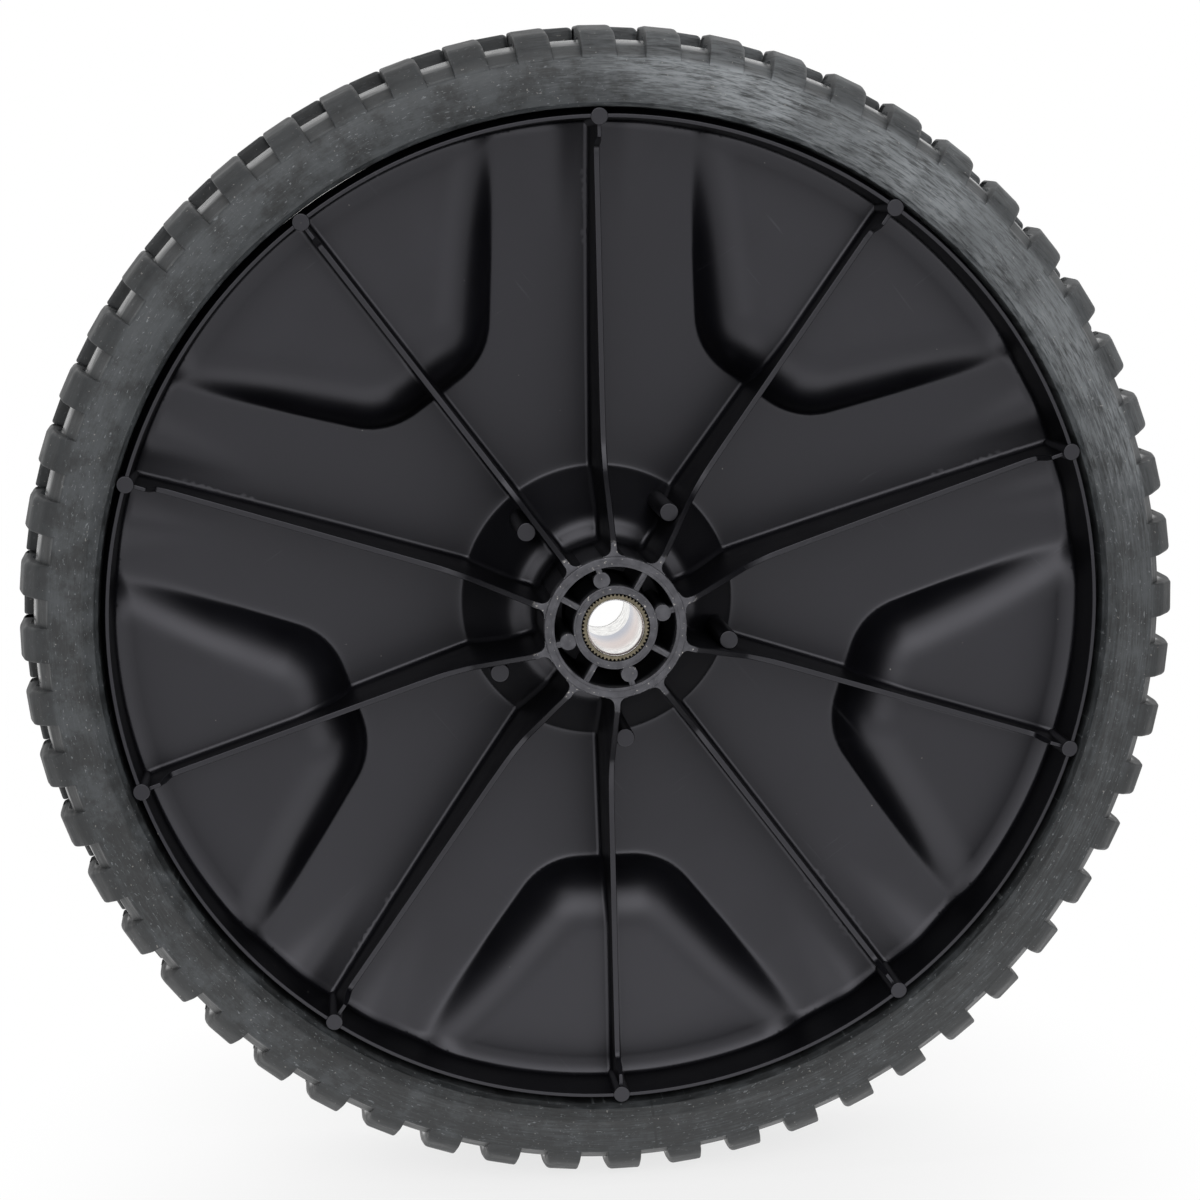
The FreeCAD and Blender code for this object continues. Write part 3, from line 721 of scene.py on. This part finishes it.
def outer_sector(form):
    """The face behind one half of a window's sector: points, directions and faces."""
    along = spaced(
        (BACK_START, 40.0, 1.5), (40.0, 62.0, 3.0), (62.0, 84.0, 1.2), (84.0, 114.0, 3.0),
        (114.0, form.rim_inner, 0.5))
    level = np.zeros(len(along))
    rim = arc(form.rim_inner, 0.0, HALF_SECTOR, 1.8)
    hub = arc(BACK_START, 0.0, HALF_SECTOR, 1.2)
    high = beside_web_rib(along, level)
    boundary = np.concatenate((np.column_stack((along, level)), rim, high[::-1], hub[::-1]))
    bed = SectorBed(form, boundary, BACK_START, np.zeros_like)
    bed.lay_arcs(BACK_RIM_RADII, 1.8, 0.1, 0.15)
    bed.lay_arcs(BACK_HUB_RADII, 1.5, 0.2, 0.3)
    bed.lay_rings(-7.5, -1.0, 0.4, form.hollow_inset, 1.8, 0.1, 0.3)
    bed.lay_rings(-1.0, 3.8, 0.6, form.hollow_inset, 1.8, 0.1, 0.4)
    bed.lay_grid(BACK_START, 3.2, 0.4, 1.8)
    places, triangles = plan_triangles(boundary, bed.points)
    directions = -height_directions(form.outer_height, places)
    radius = np.hypot(places[:, 0], places[:, 1])
    turn_level(directions, places, radius > form.rim_inner - ON_WALL, -1.0)
    heights = form.outer_height(places[:, 0], places[:, 1])
    return np.column_stack((places, heights)), directions, flipped(triangles)


def polar(radius, angle):
    turn = math.radians(angle)
    return np.array([radius * math.cos(turn), radius * math.sin(turn)])


def add_rim(shell, form):
    inside = form.rim_inner
    edge = millimetres("rim_edge")
    seat = millimetres("rim_outer")
    segments = 360
    add_lathe(shell, rounded_path([(inside, MIDDLE), (inside, -0.3)]), segments, MATT)
    add_lathe(shell, rounded_path([
        (inside, -0.3),
        (inside, 0.0, 0.25),
        (edge, 0.0, 0.3),
        (edge, -5.0, 0.5),
        (seat, -7.0, 0.5),
        (seat, -38.0, 1.0),
        (edge, FAR_EDGE, 0.4),
        (inside, FAR_EDGE, 0.35),
        (inside, MIDDLE),
    ]), segments)


def add_hub(shell, form):
    ring = form.ring_radius
    inside = millimetres("ring_inside")
    tube = millimetres("tube_radius")
    bore = millimetres("tube_bore")
    rise = form.hub_rise
    # the ends of the tube and the ring have a low step
    step = rise - 0.14
    add_lathe(shell, rounded_path([
        (bore, -25.0),
        (bore, rise, 0.2),
        (tube - 0.55, rise, 0.05),
        (tube - 0.5, step, 0.05),
        (tube, step, 0.25),
        (tube, form.pocket_floor, 0.8),
        (inside, form.pocket_floor, 0.8),
        (inside, step, 0.25),
        (inside + 0.75, step, 0.05),
        (inside + 0.8, rise, 0.05),
        (ring, rise, 0.4),
        (ring, -16.6),
    ]), 120)
    add_lathe(shell, rounded_path([
        (18.4, form.cup_floor),
        (tube, form.cup_floor, 0.8),
        (tube, form.tube_end, 0.4),
        (bore, form.tube_end, 0.3),
        (bore, -24.0),
    ]), 96)

    # short webs cross the pocket between the tube and the ring, four of them with a round pad
    foot = form.pocket_floor - 0.5
    pad_middle = 11.6
    bars = [(angle, tube - 0.8) for angle in WEB_ANGLES]
    bars += [(angle, pad_middle - 0.6) for angle in PAD_ANGLES]
    for angle, start in bars:
        outline = bar_outline(polar(start, angle), polar(inside + 0.9, angle), 0.7, 0.15)
        add_pillar(shell, *outline, foot, rise - 0.5, 0.2)
        if angle in PAD_ANGLES:
            add_pillar(shell, *circle_outline(polar(pad_middle, angle), 2.0), foot, rise - 0.45, 0.25)


def add_bosses(shell, form):
    """Round posts on the hub's cone, and round bosses where the ribs meet the rim."""
    post_top = -1.2
    boss_middle = 118.05
    boss_radius = 2.05
    boss_top = 0.25
    post, post_sides = circle_outline(polar(29.15, 5.8), 2.3)
    post_foot = form.inner_height(post[:, 0], post[:, 1]) - 0.5
    for angle in WINDOW_ANGLES:
        turn = turning(math.radians(angle))[:2, :2].T
        add_pillar(shell, post @ turn, post_sides @ turn, post_foot, post_top, 0.35)
        for rib_angle, foot in ((angle, -16.4), (angle + 36.0, -19.6)):
            outline = circle_outline(polar(boss_middle, rib_angle), boss_radius)
            add_pillar(shell, *outline, foot, boss_top, 0.3)


def build_disc():
    form = DiscForm()
    shell = Shell()
    sector = inner_sector(form)
    sector.append((*outer_sector(form), GLOSSY))
    for angle in WINDOW_ANGLES:
        for mirrored in (False, True):
            for points, directions, faces, mark in sector:
                shell.add_turned(points, directions, faces, math.radians(angle), mirrored, mark)
    add_rim(shell, form)
    add_hub(shell, form)
    add_bosses(shell, form)
    return shell.build("disc_moulding")


# tyre

TYRE_FIT = 0.1
LUG_FOOT = 6.0
# section of a lug over its middle: radius, lift and rounding of each corner
LUG_PATH = (
    (129.6, 3.75), (131.4, 4.02, 1.5), (134.2, 2.95, 5.0), (137.5, -0.7, 4.5), (139.15, -7.8, 18.0),
    (139.6, -19.2, 0.9), (138.9, -20.0, 0.5), (133.0, -20.0),
)


def lug_shell(half):
    """One lug of the front row about the x axis: points, directions and faces."""
    grid = []
    for radius, lift, out, up in rounded_path(LUG_PATH, math.radians(11.0)):
        spread = float(smooth_step(np.array(radius), 131.5, 137.0))
        wide = 0.3 + 1.1 * spread
        narrow = 0.25 + 0.3 * spread
        section = [(-half, LUG_FOOT), (-half, wide + 0.8)]
        for lean in (0.0, 18.0, 36.0, 54.0, 72.0, 90.0):
            bend = math.radians(lean)
            section.append((-half + wide * (1 - math.cos(bend)), wide * (1 - math.sin(bend))))
        section.append((0.0, 0.0))
        for lean in (90.0, 67.5, 45.0, 22.5, 0.0):
            bend = math.radians(lean)
            section.append((half - narrow * (1 - math.cos(bend)), narrow * (1 - math.sin(bend))))
        section.extend(((half, narrow + 0.8), (half, LUG_FOOT)))
        grid.append([(radius - depth * out, side, lift - depth * up) for side, depth in section])
    grid = np.array(grid)
    directions = np.cross(np.gradient(grid, axis=0), np.gradient(grid, axis=1))
    faces = grid_faces(*grid.shape[:2], closed=False)
    return grid.reshape(-1, 3), directions.reshape(-1, 3), faces


def build_tyre():
    shell = Shell()
    seat = millimetres("rim_outer") + TYRE_FIT
    stations = rounded_path([
        (seat, MIDDLE),
        (seat, -0.6, 0.5),
        (seat + 0.9, 1.3, 0.6),
        (123.9, 3.5, 4.0),
        (127.5, 4.48, 8.0),
        (131.3, 3.95, 0.9),
        (131.9, 2.5, 0.5),
        (134.2, -0.9, 2.2),
        (135.9, -8.5, 7.0),
        (136.1, MIDDLE),
    ], math.radians(9.0))
    behind = [(radius, FAR_EDGE - lift, out, -up) for radius, lift, out, up in reversed(stations)]
    add_lathe(shell, stations + behind, 336)

    # the back row of lugs stands half a pitch on
    count = bpy.context.scene.wheel_sizes.lug_count
    points, directions, faces = lug_shell(millimetres("lug_width") / 2)
    back_points = points * (1.0, 1.0, -1.0) + (0.0, 0.0, FAR_EDGE)
    back_directions = directions * (1.0, 1.0, -1.0)
    for number in range(count):
        angle = 2 * math.pi * number / count
        shell.add_turned(points, directions, faces, angle)
        shell.add_turned(back_points, back_directions, flipped(faces), angle + math.pi / count)
    return shell.build("tyre_rubber")


# sleeve


def build_sleeve():
    shell = Shell()
    outer = millimetres("sleeve_radius")
    bore = millimetres("bore_radius")
    depth = millimetres("knurl_depth")
    teeth = bpy.context.scene.wheel_sizes.knurl_count
    front = millimetres("hub_rise") - 0.3
    back = DiscForm.tube_end + 0.3
    lip = 7.15
    groove = (6.8, front - 0.2, 0.03)
    segments = teeth * 8
    angles = np.arange(segments) * 2 * math.pi / segments
    tooth = np.clip(0.35 + 1.1 * np.cos(angles * teeth), 0.0, 1.0)
    # radius, lift and depth of the knurl at each ring
    levels = (
        (lip, front, 0.0), (outer - 0.12, front, depth), (outer, front - 0.15, depth),
        (outer, back + 0.15, depth), (outer - 0.12, back, depth), (lip, back, 0.0),
    )
    rows = []
    for radius, lift, cut in levels:
        ring = radius - cut * (1.0 - tooth)
        rows.append(np.column_stack((ring * np.cos(angles), ring * np.sin(angles), np.full(segments, lift))))
    for first, second in zip(rows, rows[1:]):
        band = np.stack((first, second))
        around = np.roll(band, -1, axis=1) - np.roll(band, 1, axis=1)
        along = np.stack((second - first, second - first))
        shell.add(band.reshape(-1, 3), np.cross(along, around).reshape(-1, 3), grid_faces(2, segments))
    front_end = [
        (bore, back + 1.0),
        (bore, front - 0.9, 0.3),
        (bore + 0.3, front - 0.05, 0.1),
        (6.72, front - 0.05, 0.04),
        groove,
    ]
    front_lip = [groove, (6.88, front, 0.04), (lip + 0.01, front)]
    back_end = [(lip + 0.01, back), (bore + 0.75, back, 0.1), (bore, back + 0.9, 0.3), (bore, back + 2.0)]
    for section, mark in ((front_end, POLISHED), (front_lip, PLATED), (back_end, POLISHED)):
        add_lathe(shell, rounded_path(section), 120, mark)
    return shell.build("sleeve_metal")


# materials

VALUE = "NodeSocketFloat"
VECTOR = "NodeSocketVector"


class Signal:
    """One value of a shader tree; sums and products of signals become nodes."""

    def __init__(self, wiring, socket):
        self.wiring = wiring
        self.socket = socket

    def __add__(self, other):
        return self.wiring.math("ADD", self, other)

    def __sub__(self, other):
        return self.wiring.math("SUBTRACT", self, other)

    def __mul__(self, other):
        return self.wiring.math("MULTIPLY", self, other)

    def larger(self, other):
        return self.wiring.math("MAXIMUM", self, other)

    def between(self, low, high, first=0.0, last=1.0):
        """Run smoothly from the first value to the last while this one goes from low to high."""
        limits = {"Value": self, "From Min": low, "From Max": high, "To Min": first, "To Max": last}
        return self.wiring.signal("ShaderNodeMapRange", limits, "Result", interpolation_type="SMOOTHSTEP")


class Wiring:
    """Adds nodes to a tree and joins them."""

    def __init__(self, tree):
        self.tree = tree

    def set(self, node, inputs):
        """Join or set the inputs of a node, named by label or number."""
        for label, value in dict(inputs).items():
            if isinstance(value, Signal):
                self.tree.links.new(value.socket, node.inputs[label])
            else:
                node.inputs[label].default_value = value

    def add(self, kind, inputs=(), **settings):
        node = self.tree.nodes.new(kind)
        for name, value in settings.items():
            setattr(node, name, value)
        self.set(node, inputs)
        return node

    def signal(self, kind, inputs, output=0, **settings):
        """One output of a new node."""
        return Signal(self, self.add(kind, inputs, **settings).outputs[output])

    def math(self, operation, *values, clamp=False):
        return self.signal("ShaderNodeMath", enumerate(values), operation=operation, use_clamp=clamp)

    def split(self, vector):
        return [Signal(self, socket) for socket in self.add("ShaderNodeSeparateXYZ", {0: vector}).outputs]

    def scaled(self, vector, scale):
        return self.signal("ShaderNodeVectorMath", {0: vector, 1: scale}, operation="MULTIPLY")

    def noise(self, vector, scale, detail=3.0, roughness=0.5, bend=0.0):
        settings = {"Scale": scale, "Detail": detail, "Roughness": roughness, "Distortion": bend}
        return self.signal("ShaderNodeTexNoise", {"Vector": vector, **settings}, "Fac")

    def mix(self, amount, first, second):
        """Blend two colours, each a signal or the three values of a colour."""
        first, second = (value if isinstance(value, Signal) else opaque(value) for value in (first, second))
        return self.signal("ShaderNodeMix", {0: amount, 6: first, 7: second}, 2, data_type="RGBA")

    def bump(self, height, strength, distance):
        return self.signal("ShaderNodeBump", {"Strength": strength, "Distance": distance, "Height": height})

    def group(self, maker, place, **values):
        """Use a shared group, made at its first use, and give its outputs."""
        tree = bpy.data.node_groups.get(maker.__name__) or maker(maker.__name__)
        node = self.add("ShaderNodeGroup", {"Place": place, **values}, node_tree=tree)
        return [Signal(self, socket) for socket in node.outputs]


def opaque(value):
    return (*value, 1.0)


def tinted(colour_values, factor):
    return [value * factor for value in colour_values]


def new_group(name, inputs, outputs):
    """A shader group: its tree, its wiring, what it is given and its last node."""
    tree = bpy.data.node_groups.new(name, "ShaderNodeTree")
    for way, sockets in (("INPUT", inputs), ("OUTPUT", outputs)):
        for label, kind in sockets.items():
            tree.interface.new_socket(name=label, in_out=way, socket_type=kind)
    wiring = Wiring(tree)
    start = wiring.add("NodeGroupInput")
    given = [Signal(wiring, start.outputs[label]) for label in inputs]
    return tree, wiring, given, wiring.add("NodeGroupOutput")


def wheel_places(name):
    """Distance from the axle, way round it and lift from the rim's edge, in metres."""
    tree, wiring, (place,), end = new_group(
        name, {"Place": VECTOR}, {"Radius": VALUE, "Round": VECTOR, "Lift": VALUE})
    x, y, z = wiring.split(place)
    radius = wiring.math("SQRT", wiring.math("POWER", x, 2.0) + wiring.math("POWER", z, 2.0))
    angle = wiring.math("ARCTAN2", z, x)
    # the angle is laid on a circle in space, so that nothing breaks where it starts again
    circle = wiring.signal("ShaderNodeCombineXYZ", {
        "X": wiring.math("COSINE", angle), "Y": wiring.math("SINE", angle), "Z": radius})
    wiring.set(end, {"Radius": radius, "Round": circle, "Lift": y * -1.0 - EDGE_LEVEL * MM})
    return tree


def specks(name):
    """Small scattered specks."""
    tree, wiring, (place, scale, level), end = new_group(
        name, {"Place": VECTOR, "Scale": VALUE, "Level": VALUE}, {"Specks": VALUE})
    over = wiring.noise(place, scale, 1.0) - level
    wiring.set(end, {"Specks": wiring.math("MULTIPLY", over, 25.0, clamp=True)})
    return tree


def scratches(name):
    """Fine scratches that run in two ways, in patches."""
    tree, wiring, (place,), end = new_group(name, {"Place": VECTOR}, {"Scratches": VALUE})
    patches = wiring.noise(place, 28.0, 2.0).between(0.50, 0.64)
    runs = []
    for turn, stretch in ((0.6, (45.0, 1.0, 900.0)), (-0.9, (38.0, 1.0, 760.0))):
        turned = wiring.signal(
            "ShaderNodeVectorRotate", {"Vector": place, "Angle": turn}, rotation_type="Y_AXIS")
        lines = wiring.noise(wiring.scaled(turned, stretch), 1.0, 2.0, bend=0.35)
        runs.append(lines.between(0.68, 0.74) * patches)
    wiring.set(end, {"Scratches": runs[0].larger(runs[1])})
    return tree


def new_material(name):
    material = bpy.data.materials.new(name)
    material.use_nodes = True
    wiring = Wiring(material.node_tree)
    shader = material.node_tree.nodes["Principled BSDF"]
    return material, wiring, shader, wiring.signal("ShaderNodeTexCoord", {}, "Object")


def plastic_material():
    colours = bpy.context.scene.wheel_colours
    material, wiring, shader, place = new_material("black_plastic")
    radius, _, lift = wiring.group(wheel_places, place)
    cloud = wiring.noise(place, 55.0, 4.0)
    tone = wiring.mix(cloud.between(0.3, 0.75), colours.plastic, tinted(colours.plastic, 1.5))
    # the hub's raised end is rubbed grey, and the ribs' tips there are frayed
    hub = radius.between(0.021, 0.0185) * lift.between(0.006, 0.0095)
    rubbed = hub * wiring.noise(place, 420.0, 3.0).between(0.25, 0.8, 0.35, 0.95)
    tone = wiring.mix(rubbed, tone, colours.plastic_worn)
    tips = wiring.noise(place, 1500.0, 2.0) - radius.between(0.0178, 0.0198, 0.685, 0.57)
    frayed = wiring.math("MULTIPLY", tips, 12.0, clamp=True) * hub
    tone = wiring.mix(frayed, tone, colours.dust)
    marks = wiring.group(scratches, place)[0] * colours.scratches
    tone = wiring.mix(marks, tone, colours.plastic_worn)
    dust = wiring.group(specks, place, Scale=800.0, Level=0.825)[0]
    wiring.set(shader, {
        "Base Color": wiring.mix(dust * 0.55, tone, colours.dust),
        "Roughness": cloud.between(0.25, 0.8, 0.32, 0.38),
        "Normal": wiring.bump(wiring.noise(place, 2600.0, 2.0), 0.05, 0.0002),
        "Specular IOR Level": 0.54,
        "Specular Tint": (0.92, 0.91, 1.0, 1.0),
    })
    return material


def matt_material():
    colours = bpy.context.scene.wheel_colours
    material, wiring, shader, place = new_material("matt_plastic")
    cloud = wiring.noise(place, 90.0, 4.0)
    tone = wiring.mix(cloud.between(0.3, 0.75), colours.plastic, tinted(colours.plastic, 1.6))
    dust = wiring.group(specks, place, Scale=800.0, Level=0.825)[0]
    wiring.set(shader, {
        "Base Color": wiring.mix(dust * 0.4, tone, colours.dust),
        "Roughness": cloud.between(0.25, 0.8, 0.42, 0.52),
        "Specular IOR Level": 0.18,
    })
    return material


def rubber_material():
    colours = bpy.context.scene.wheel_colours
    material, wiring, shader, place = new_material("tyre_rubber")
    radius, way_round, lift = wiring.group(wheel_places, place)
    x, _, z = wiring.split(place)

    def drawn_out(stretch, *settings):
        """Noise drawn out into strokes that run round the tyre."""
        return wiring.noise(wiring.scaled(way_round, stretch), 1.0, *settings)

    # scuffs gather in patches at the upper right, with single flecks all round
    streaks = drawn_out((20.0, 20.0, 1500.0), 5.0, 0.62)
    broad = drawn_out((6.0, 6.0, 330.0), 4.0, 0.6)
    fine = drawn_out((42.0, 42.0, 2900.0), 3.0, 0.6, 0.5)
    flecks = drawn_out((95.0, 95.0, 2300.0), 2.0, 0.6, 0.6).between(0.63, 0.72)
    patches = wiring.noise(place, 26.0, 4.0, 0.6).between(0.32, 0.58, 0.35, 1.0)
    upper = (x * 0.62 + z * 0.78).between(0.086, 0.120, 0.09, 1.0)
    tread = radius.between(0.1310, 0.1325)
    strokes = streaks * 0.44 + broad * 0.22 + fine * 0.34 + upper * 0.075
    scuffs = (strokes.between(0.45, 0.65) * (patches * upper)).larger(flecks * 0.5)
    scuffs = scuffs * (tread * -0.65 + 1.0) * colours.scuffs
    # the ground is mottled and wiped along at the lower right, with painted shade: lighter towards the top
    # and a little darker in the lower half
    mottle_and_shade = wiring.noise(place, 130.0, 6.0, 0.68)
    wiped = drawn_out((11.0, 11.0, 2300.0), 4.0, 0.65)
    lower = (x * 0.75 + z * -0.66).between(0.0, 0.09, 0.1, 0.5)
    # the last term is painted shade, lightening the top and darkening the lower half
    mottle_and_shade = (wiped - mottle_and_shade) * lower + mottle_and_shade + z.between(-0.10, 0.06, -0.055, 0.04)
    tone = wiring.mix(mottle_and_shade.between(0.39, 0.63), tinted(colours.rubber, 0.42), tinted(colours.rubber, 1.6))
    tone = wiring.mix(tread * 0.7, tone, tinted(colours.rubber, 0.5))
    tone = wiring.mix(scuffs, tone, colours.rubber_scuffed)
    # the mould's seam crosses the sidewall at the bottom
    sideways, upwards, _ = wiring.split(way_round)
    beside = wiring.math("ABSOLUTE", sideways + upwards * 0.06)
    seam = beside.between(0.0032, 0.0014) * upwards.between(-0.5, -0.6, 0.0, 0.8)
    tone = wiring.mix(seam, tone, tinted(colours.rubber, 0.4))
    dust = wiring.group(specks, place, Scale=1100.0, Level=0.74)[0]
    # the floors between the lugs are smoother
    notch = (radius * 1.5 + lift).between(0.2014, 0.1965) * radius.between(0.1370, 0.1363) * tread
    grain = wiring.noise(place, 1500.0, 3.0) + streaks * 0.6
    wiring.set(shader, {
        "Base Color": wiring.mix(dust * 0.3, tone, colours.dust),
        "Roughness": notch * -0.36 + streaks.between(0.3, 0.7, 0.48, 0.64),
        "Normal": wiring.bump(grain, 0.12, 0.0003),
        "Specular IOR Level": 0.5,
    })
    return material


def metal_material(name, bright, rough, painted_bore_light=False):
    colours = bpy.context.scene.wheel_colours
    material, wiring, shader, place = new_material(name)
    cloud = wiring.noise(place, 700.0, 3.0)
    tone = wiring.mix(cloud.between(0.3, 0.7), tinted(bright, 0.7), bright)
    if painted_bore_light:
        # all but the bore's far end has painted reflection and shade: bright at the front, then warm, then a
        # cool grey
        depth = wiring.split(place)[1]
        shade = wiring.mix(depth.between(-0.0285, -0.0200, 0.0, 0.9), tone, colours.bore_reflection_warm)
        shade = wiring.mix(depth.between(-0.0180, -0.0070), shade, colours.bore_reflection_cool)
        tone = wiring.mix(depth.between(-0.0045, -0.0058), tone, shade)
    lines = wiring.noise(wiring.scaled(place, (1.0, 4000.0, 1.0)), 1.0, 2.0)
    wiring.set(shader, {
        "Base Color": tone,
        "Roughness": lines.between(0.3, 0.7, rough - 0.08, rough + 0.08),
        "Metallic": 1.0,
    })
    return material


def sleeve_materials():
    colours = bpy.context.scene.wheel_colours
    return [
        metal_material("plated_metal", colours.sleeve, 0.42),
        metal_material("polished_metal", colours.polished, 0.2, painted_bore_light=True),
    ]


def attach(piece, node, materials):
    for material in materials:
        piece.data.materials.append(material)
    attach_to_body(piece, "root")
    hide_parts(node)


class WHEEL_OT_disc(bpy.types.Operator):
    """Build the ribbed plastic disc"""

    bl_idname = "wheel.disc"
    bl_label = "Plastic disc"

    def execute(self, context):
        attach(build_disc(), "wheel_disc", [plastic_material(), matt_material()])
        return {"FINISHED"}


class WHEEL_OT_tyre(bpy.types.Operator):
    """Build the rubber tyre with its two rows of lugs"""

    bl_idname = "wheel.tyre"
    bl_label = "Rubber tyre"

    def execute(self, context):
        attach(build_tyre(), "tyre", [rubber_material()])
        return {"FINISHED"}


class WHEEL_OT_sleeve(bpy.types.Operator):
    """Build the knurled sleeve with the axle bore"""

    bl_idname = "wheel.sleeve"
    bl_label = "Hub sleeve"

    def execute(self, context):
        attach(build_sleeve(), "hub_sleeve", sleeve_materials())
        return {"FINISHED"}


# stage

WHITE = (1.0, 1.0, 1.0, 1.0)


def floor_material():
    material = bpy.data.materials.new("pale_floor")
    material.use_nodes = True
    material.node_tree.nodes.clear()
    wiring = Wiring(material.node_tree)
    matt = wiring.signal("ShaderNodeBsdfDiffuse", {"Color": opaque(bpy.context.scene.wheel_colours.floor)})
    glow = wiring.signal("ShaderNodeEmission", {"Color": WHITE})
    place = wiring.signal("ShaderNodeTexCoord", {}, "Object")
    away = wiring.signal("ShaderNodeVectorMath", {0: place}, "Value", operation="LENGTH")
    camera_ray = wiring.signal("ShaderNodeLightPath", {}, "Is Camera Ray")
    glossy_ray = wiring.signal("ShaderNodeLightPath", {}, "Is Glossy Ray")
    # the floor turns to the white of the backdrop away from the wheel, and in reflections
    seen = camera_ray * away.between(0.145, 0.22, 0.76, 1.0)
    mirrored = glossy_ray * away.between(0.16, 0.30, 0.6, 1.0)
    white = wiring.math("ADD", seen, mirrored, clamp=True)
    both = wiring.signal("ShaderNodeMixShader", {0: white, 1: matt, 2: glow})
    # close to the wheel the floor shines a little more into the plastic
    shine = glossy_ray * away.between(0.32, 0.22, 0.0, 0.62)
    near = wiring.signal("ShaderNodeEmission", {"Color": WHITE, "Strength": shine})
    total = wiring.signal("ShaderNodeAddShader", {0: both, 1: near})
    wiring.add("ShaderNodeOutputMaterial", {"Surface": total})
    return material


def studio_world():
    world = bpy.data.worlds.new("studio")
    bpy.context.scene.world = world
    world.use_nodes = True
    wiring = Wiring(world.node_tree)
    way = wiring.signal("ShaderNodeTexCoord", {}, "Generated")
    towards = wiring.signal(
        "ShaderNodeVectorMath", {0: way, 1: (0.04, -0.999, -0.03)}, "Value", operation="DOT_PRODUCT")
    # a ring of soft light round the viewer, a dimmer middle, dark sides and the white backdrop
    ring = towards.between(0.50, 0.72) * towards.between(0.985, 0.88, 0.46, 1.0)
    strength = wiring.split(way)[2].between(-0.10, -0.40, 1.75, 2.1)
    light = (ring * strength + 0.055).larger(towards.between(0.14, 0.02))
    seen = wiring.signal("ShaderNodeLightPath", {}, "Is Camera Ray")
    wiring.set(world.node_tree.nodes["Background"], {"Strength": light.larger(seen), "Color": WHITE})


def top_light():
    data = bpy.data.lights.new("top_light", "AREA")
    data.shape = "SQUARE"
    data.size = 1.2
    data.energy = 5.0
    lamp = bpy.data.objects.new("top_light", data)
    lamp.location = (-0.1, -1.0, 0.95)
    lamp.rotation_euler = (-lamp.location).to_track_quat("-Z", "Y").to_euler()
    bpy.context.scene.collection.objects.link(lamp)


def place_camera():
    data = bpy.data.cameras.new("camera")
    data.lens = 75.6
    data.sensor_width = 36.0
    camera = bpy.data.objects.new("camera", data)
    yaw = math.radians(5.908)
    pitch = math.radians(-9.204)
    roll = math.radians(-1.352)
    ahead = Vector((math.sin(yaw) * math.cos(pitch), math.cos(yaw) * math.cos(pitch), math.sin(pitch)))
    right = Vector((math.cos(yaw), -math.sin(yaw), 0.0))
    above = right.cross(ahead)
    right, above = (
        right * math.cos(roll) + above * math.sin(roll),
        above * math.cos(roll) - right * math.sin(roll),
    )
    turn = Matrix((right, above, -ahead)).transposed().to_4x4()
    camera.matrix_world = Matrix.Translation((-0.06336, -0.60858, 0.10084)) @ turn
    bpy.context.scene.collection.objects.link(camera)
    bpy.context.scene.camera = camera


class WHEEL_OT_stage(bpy.types.Operator):
    """Set the floor, the soft light and the camera"""

    bl_idname = "wheel.stage"
    bl_label = "Stage"

    def execute(self, context):
        lowest = -millimetres("tyre_radius") * MM
        mesh = bpy.data.meshes.new("floor")
        corners = [(x, y, lowest) for x, y in ((-4.0, -4.0), (4.0, -4.0), (4.0, 4.0), (-4.0, 4.0))]
        mesh.from_pydata(corners, [], [(0, 1, 2, 3)])
        floor = bpy.data.objects.new("floor", mesh)
        context.scene.collection.objects.link(floor)
        mesh.materials.append(floor_material())
        studio_world()
        top_light()
        place_camera()
        context.scene.view_settings.view_transform = "Standard"
        return {"FINISHED"}


class WHEEL_PT_panel(bpy.types.Panel):
    """Lists the steps that build the wheel"""

    bl_idname = "WHEEL_PT_panel"
    bl_label = "Lawn Mower Wheel"
    bl_space_type = "VIEW_3D"
    bl_region_type = "UI"
    bl_category = "Wheel"

    def draw(self, context):
        for step in STEPS:
            self.layout.operator(step.bl_idname)


STEPS = (WHEEL_OT_disc, WHEEL_OT_tyre, WHEEL_OT_sleeve, WHEEL_OT_stage)
CLASSES = (WheelSizes, WheelColours, *STEPS, WHEEL_PT_panel)


def register():
    for item in CLASSES:
        bpy.utils.register_class(item)
    bpy.types.Scene.wheel_sizes = bpy.props.PointerProperty(type=WheelSizes)
    bpy.types.Scene.wheel_colours = bpy.props.PointerProperty(type=WheelColours)


def unregister():
    del bpy.types.Scene.wheel_colours
    del bpy.types.Scene.wheel_sizes
    for item in reversed(CLASSES):
        bpy.utils.unregister_class(item)


def main():
    register()
    bpy.ops.wheel.disc()
    bpy.ops.wheel.tyre()
    bpy.ops.wheel.sleeve()
    bpy.ops.wheel.stage()


if __name__ == "__main__":
    main()
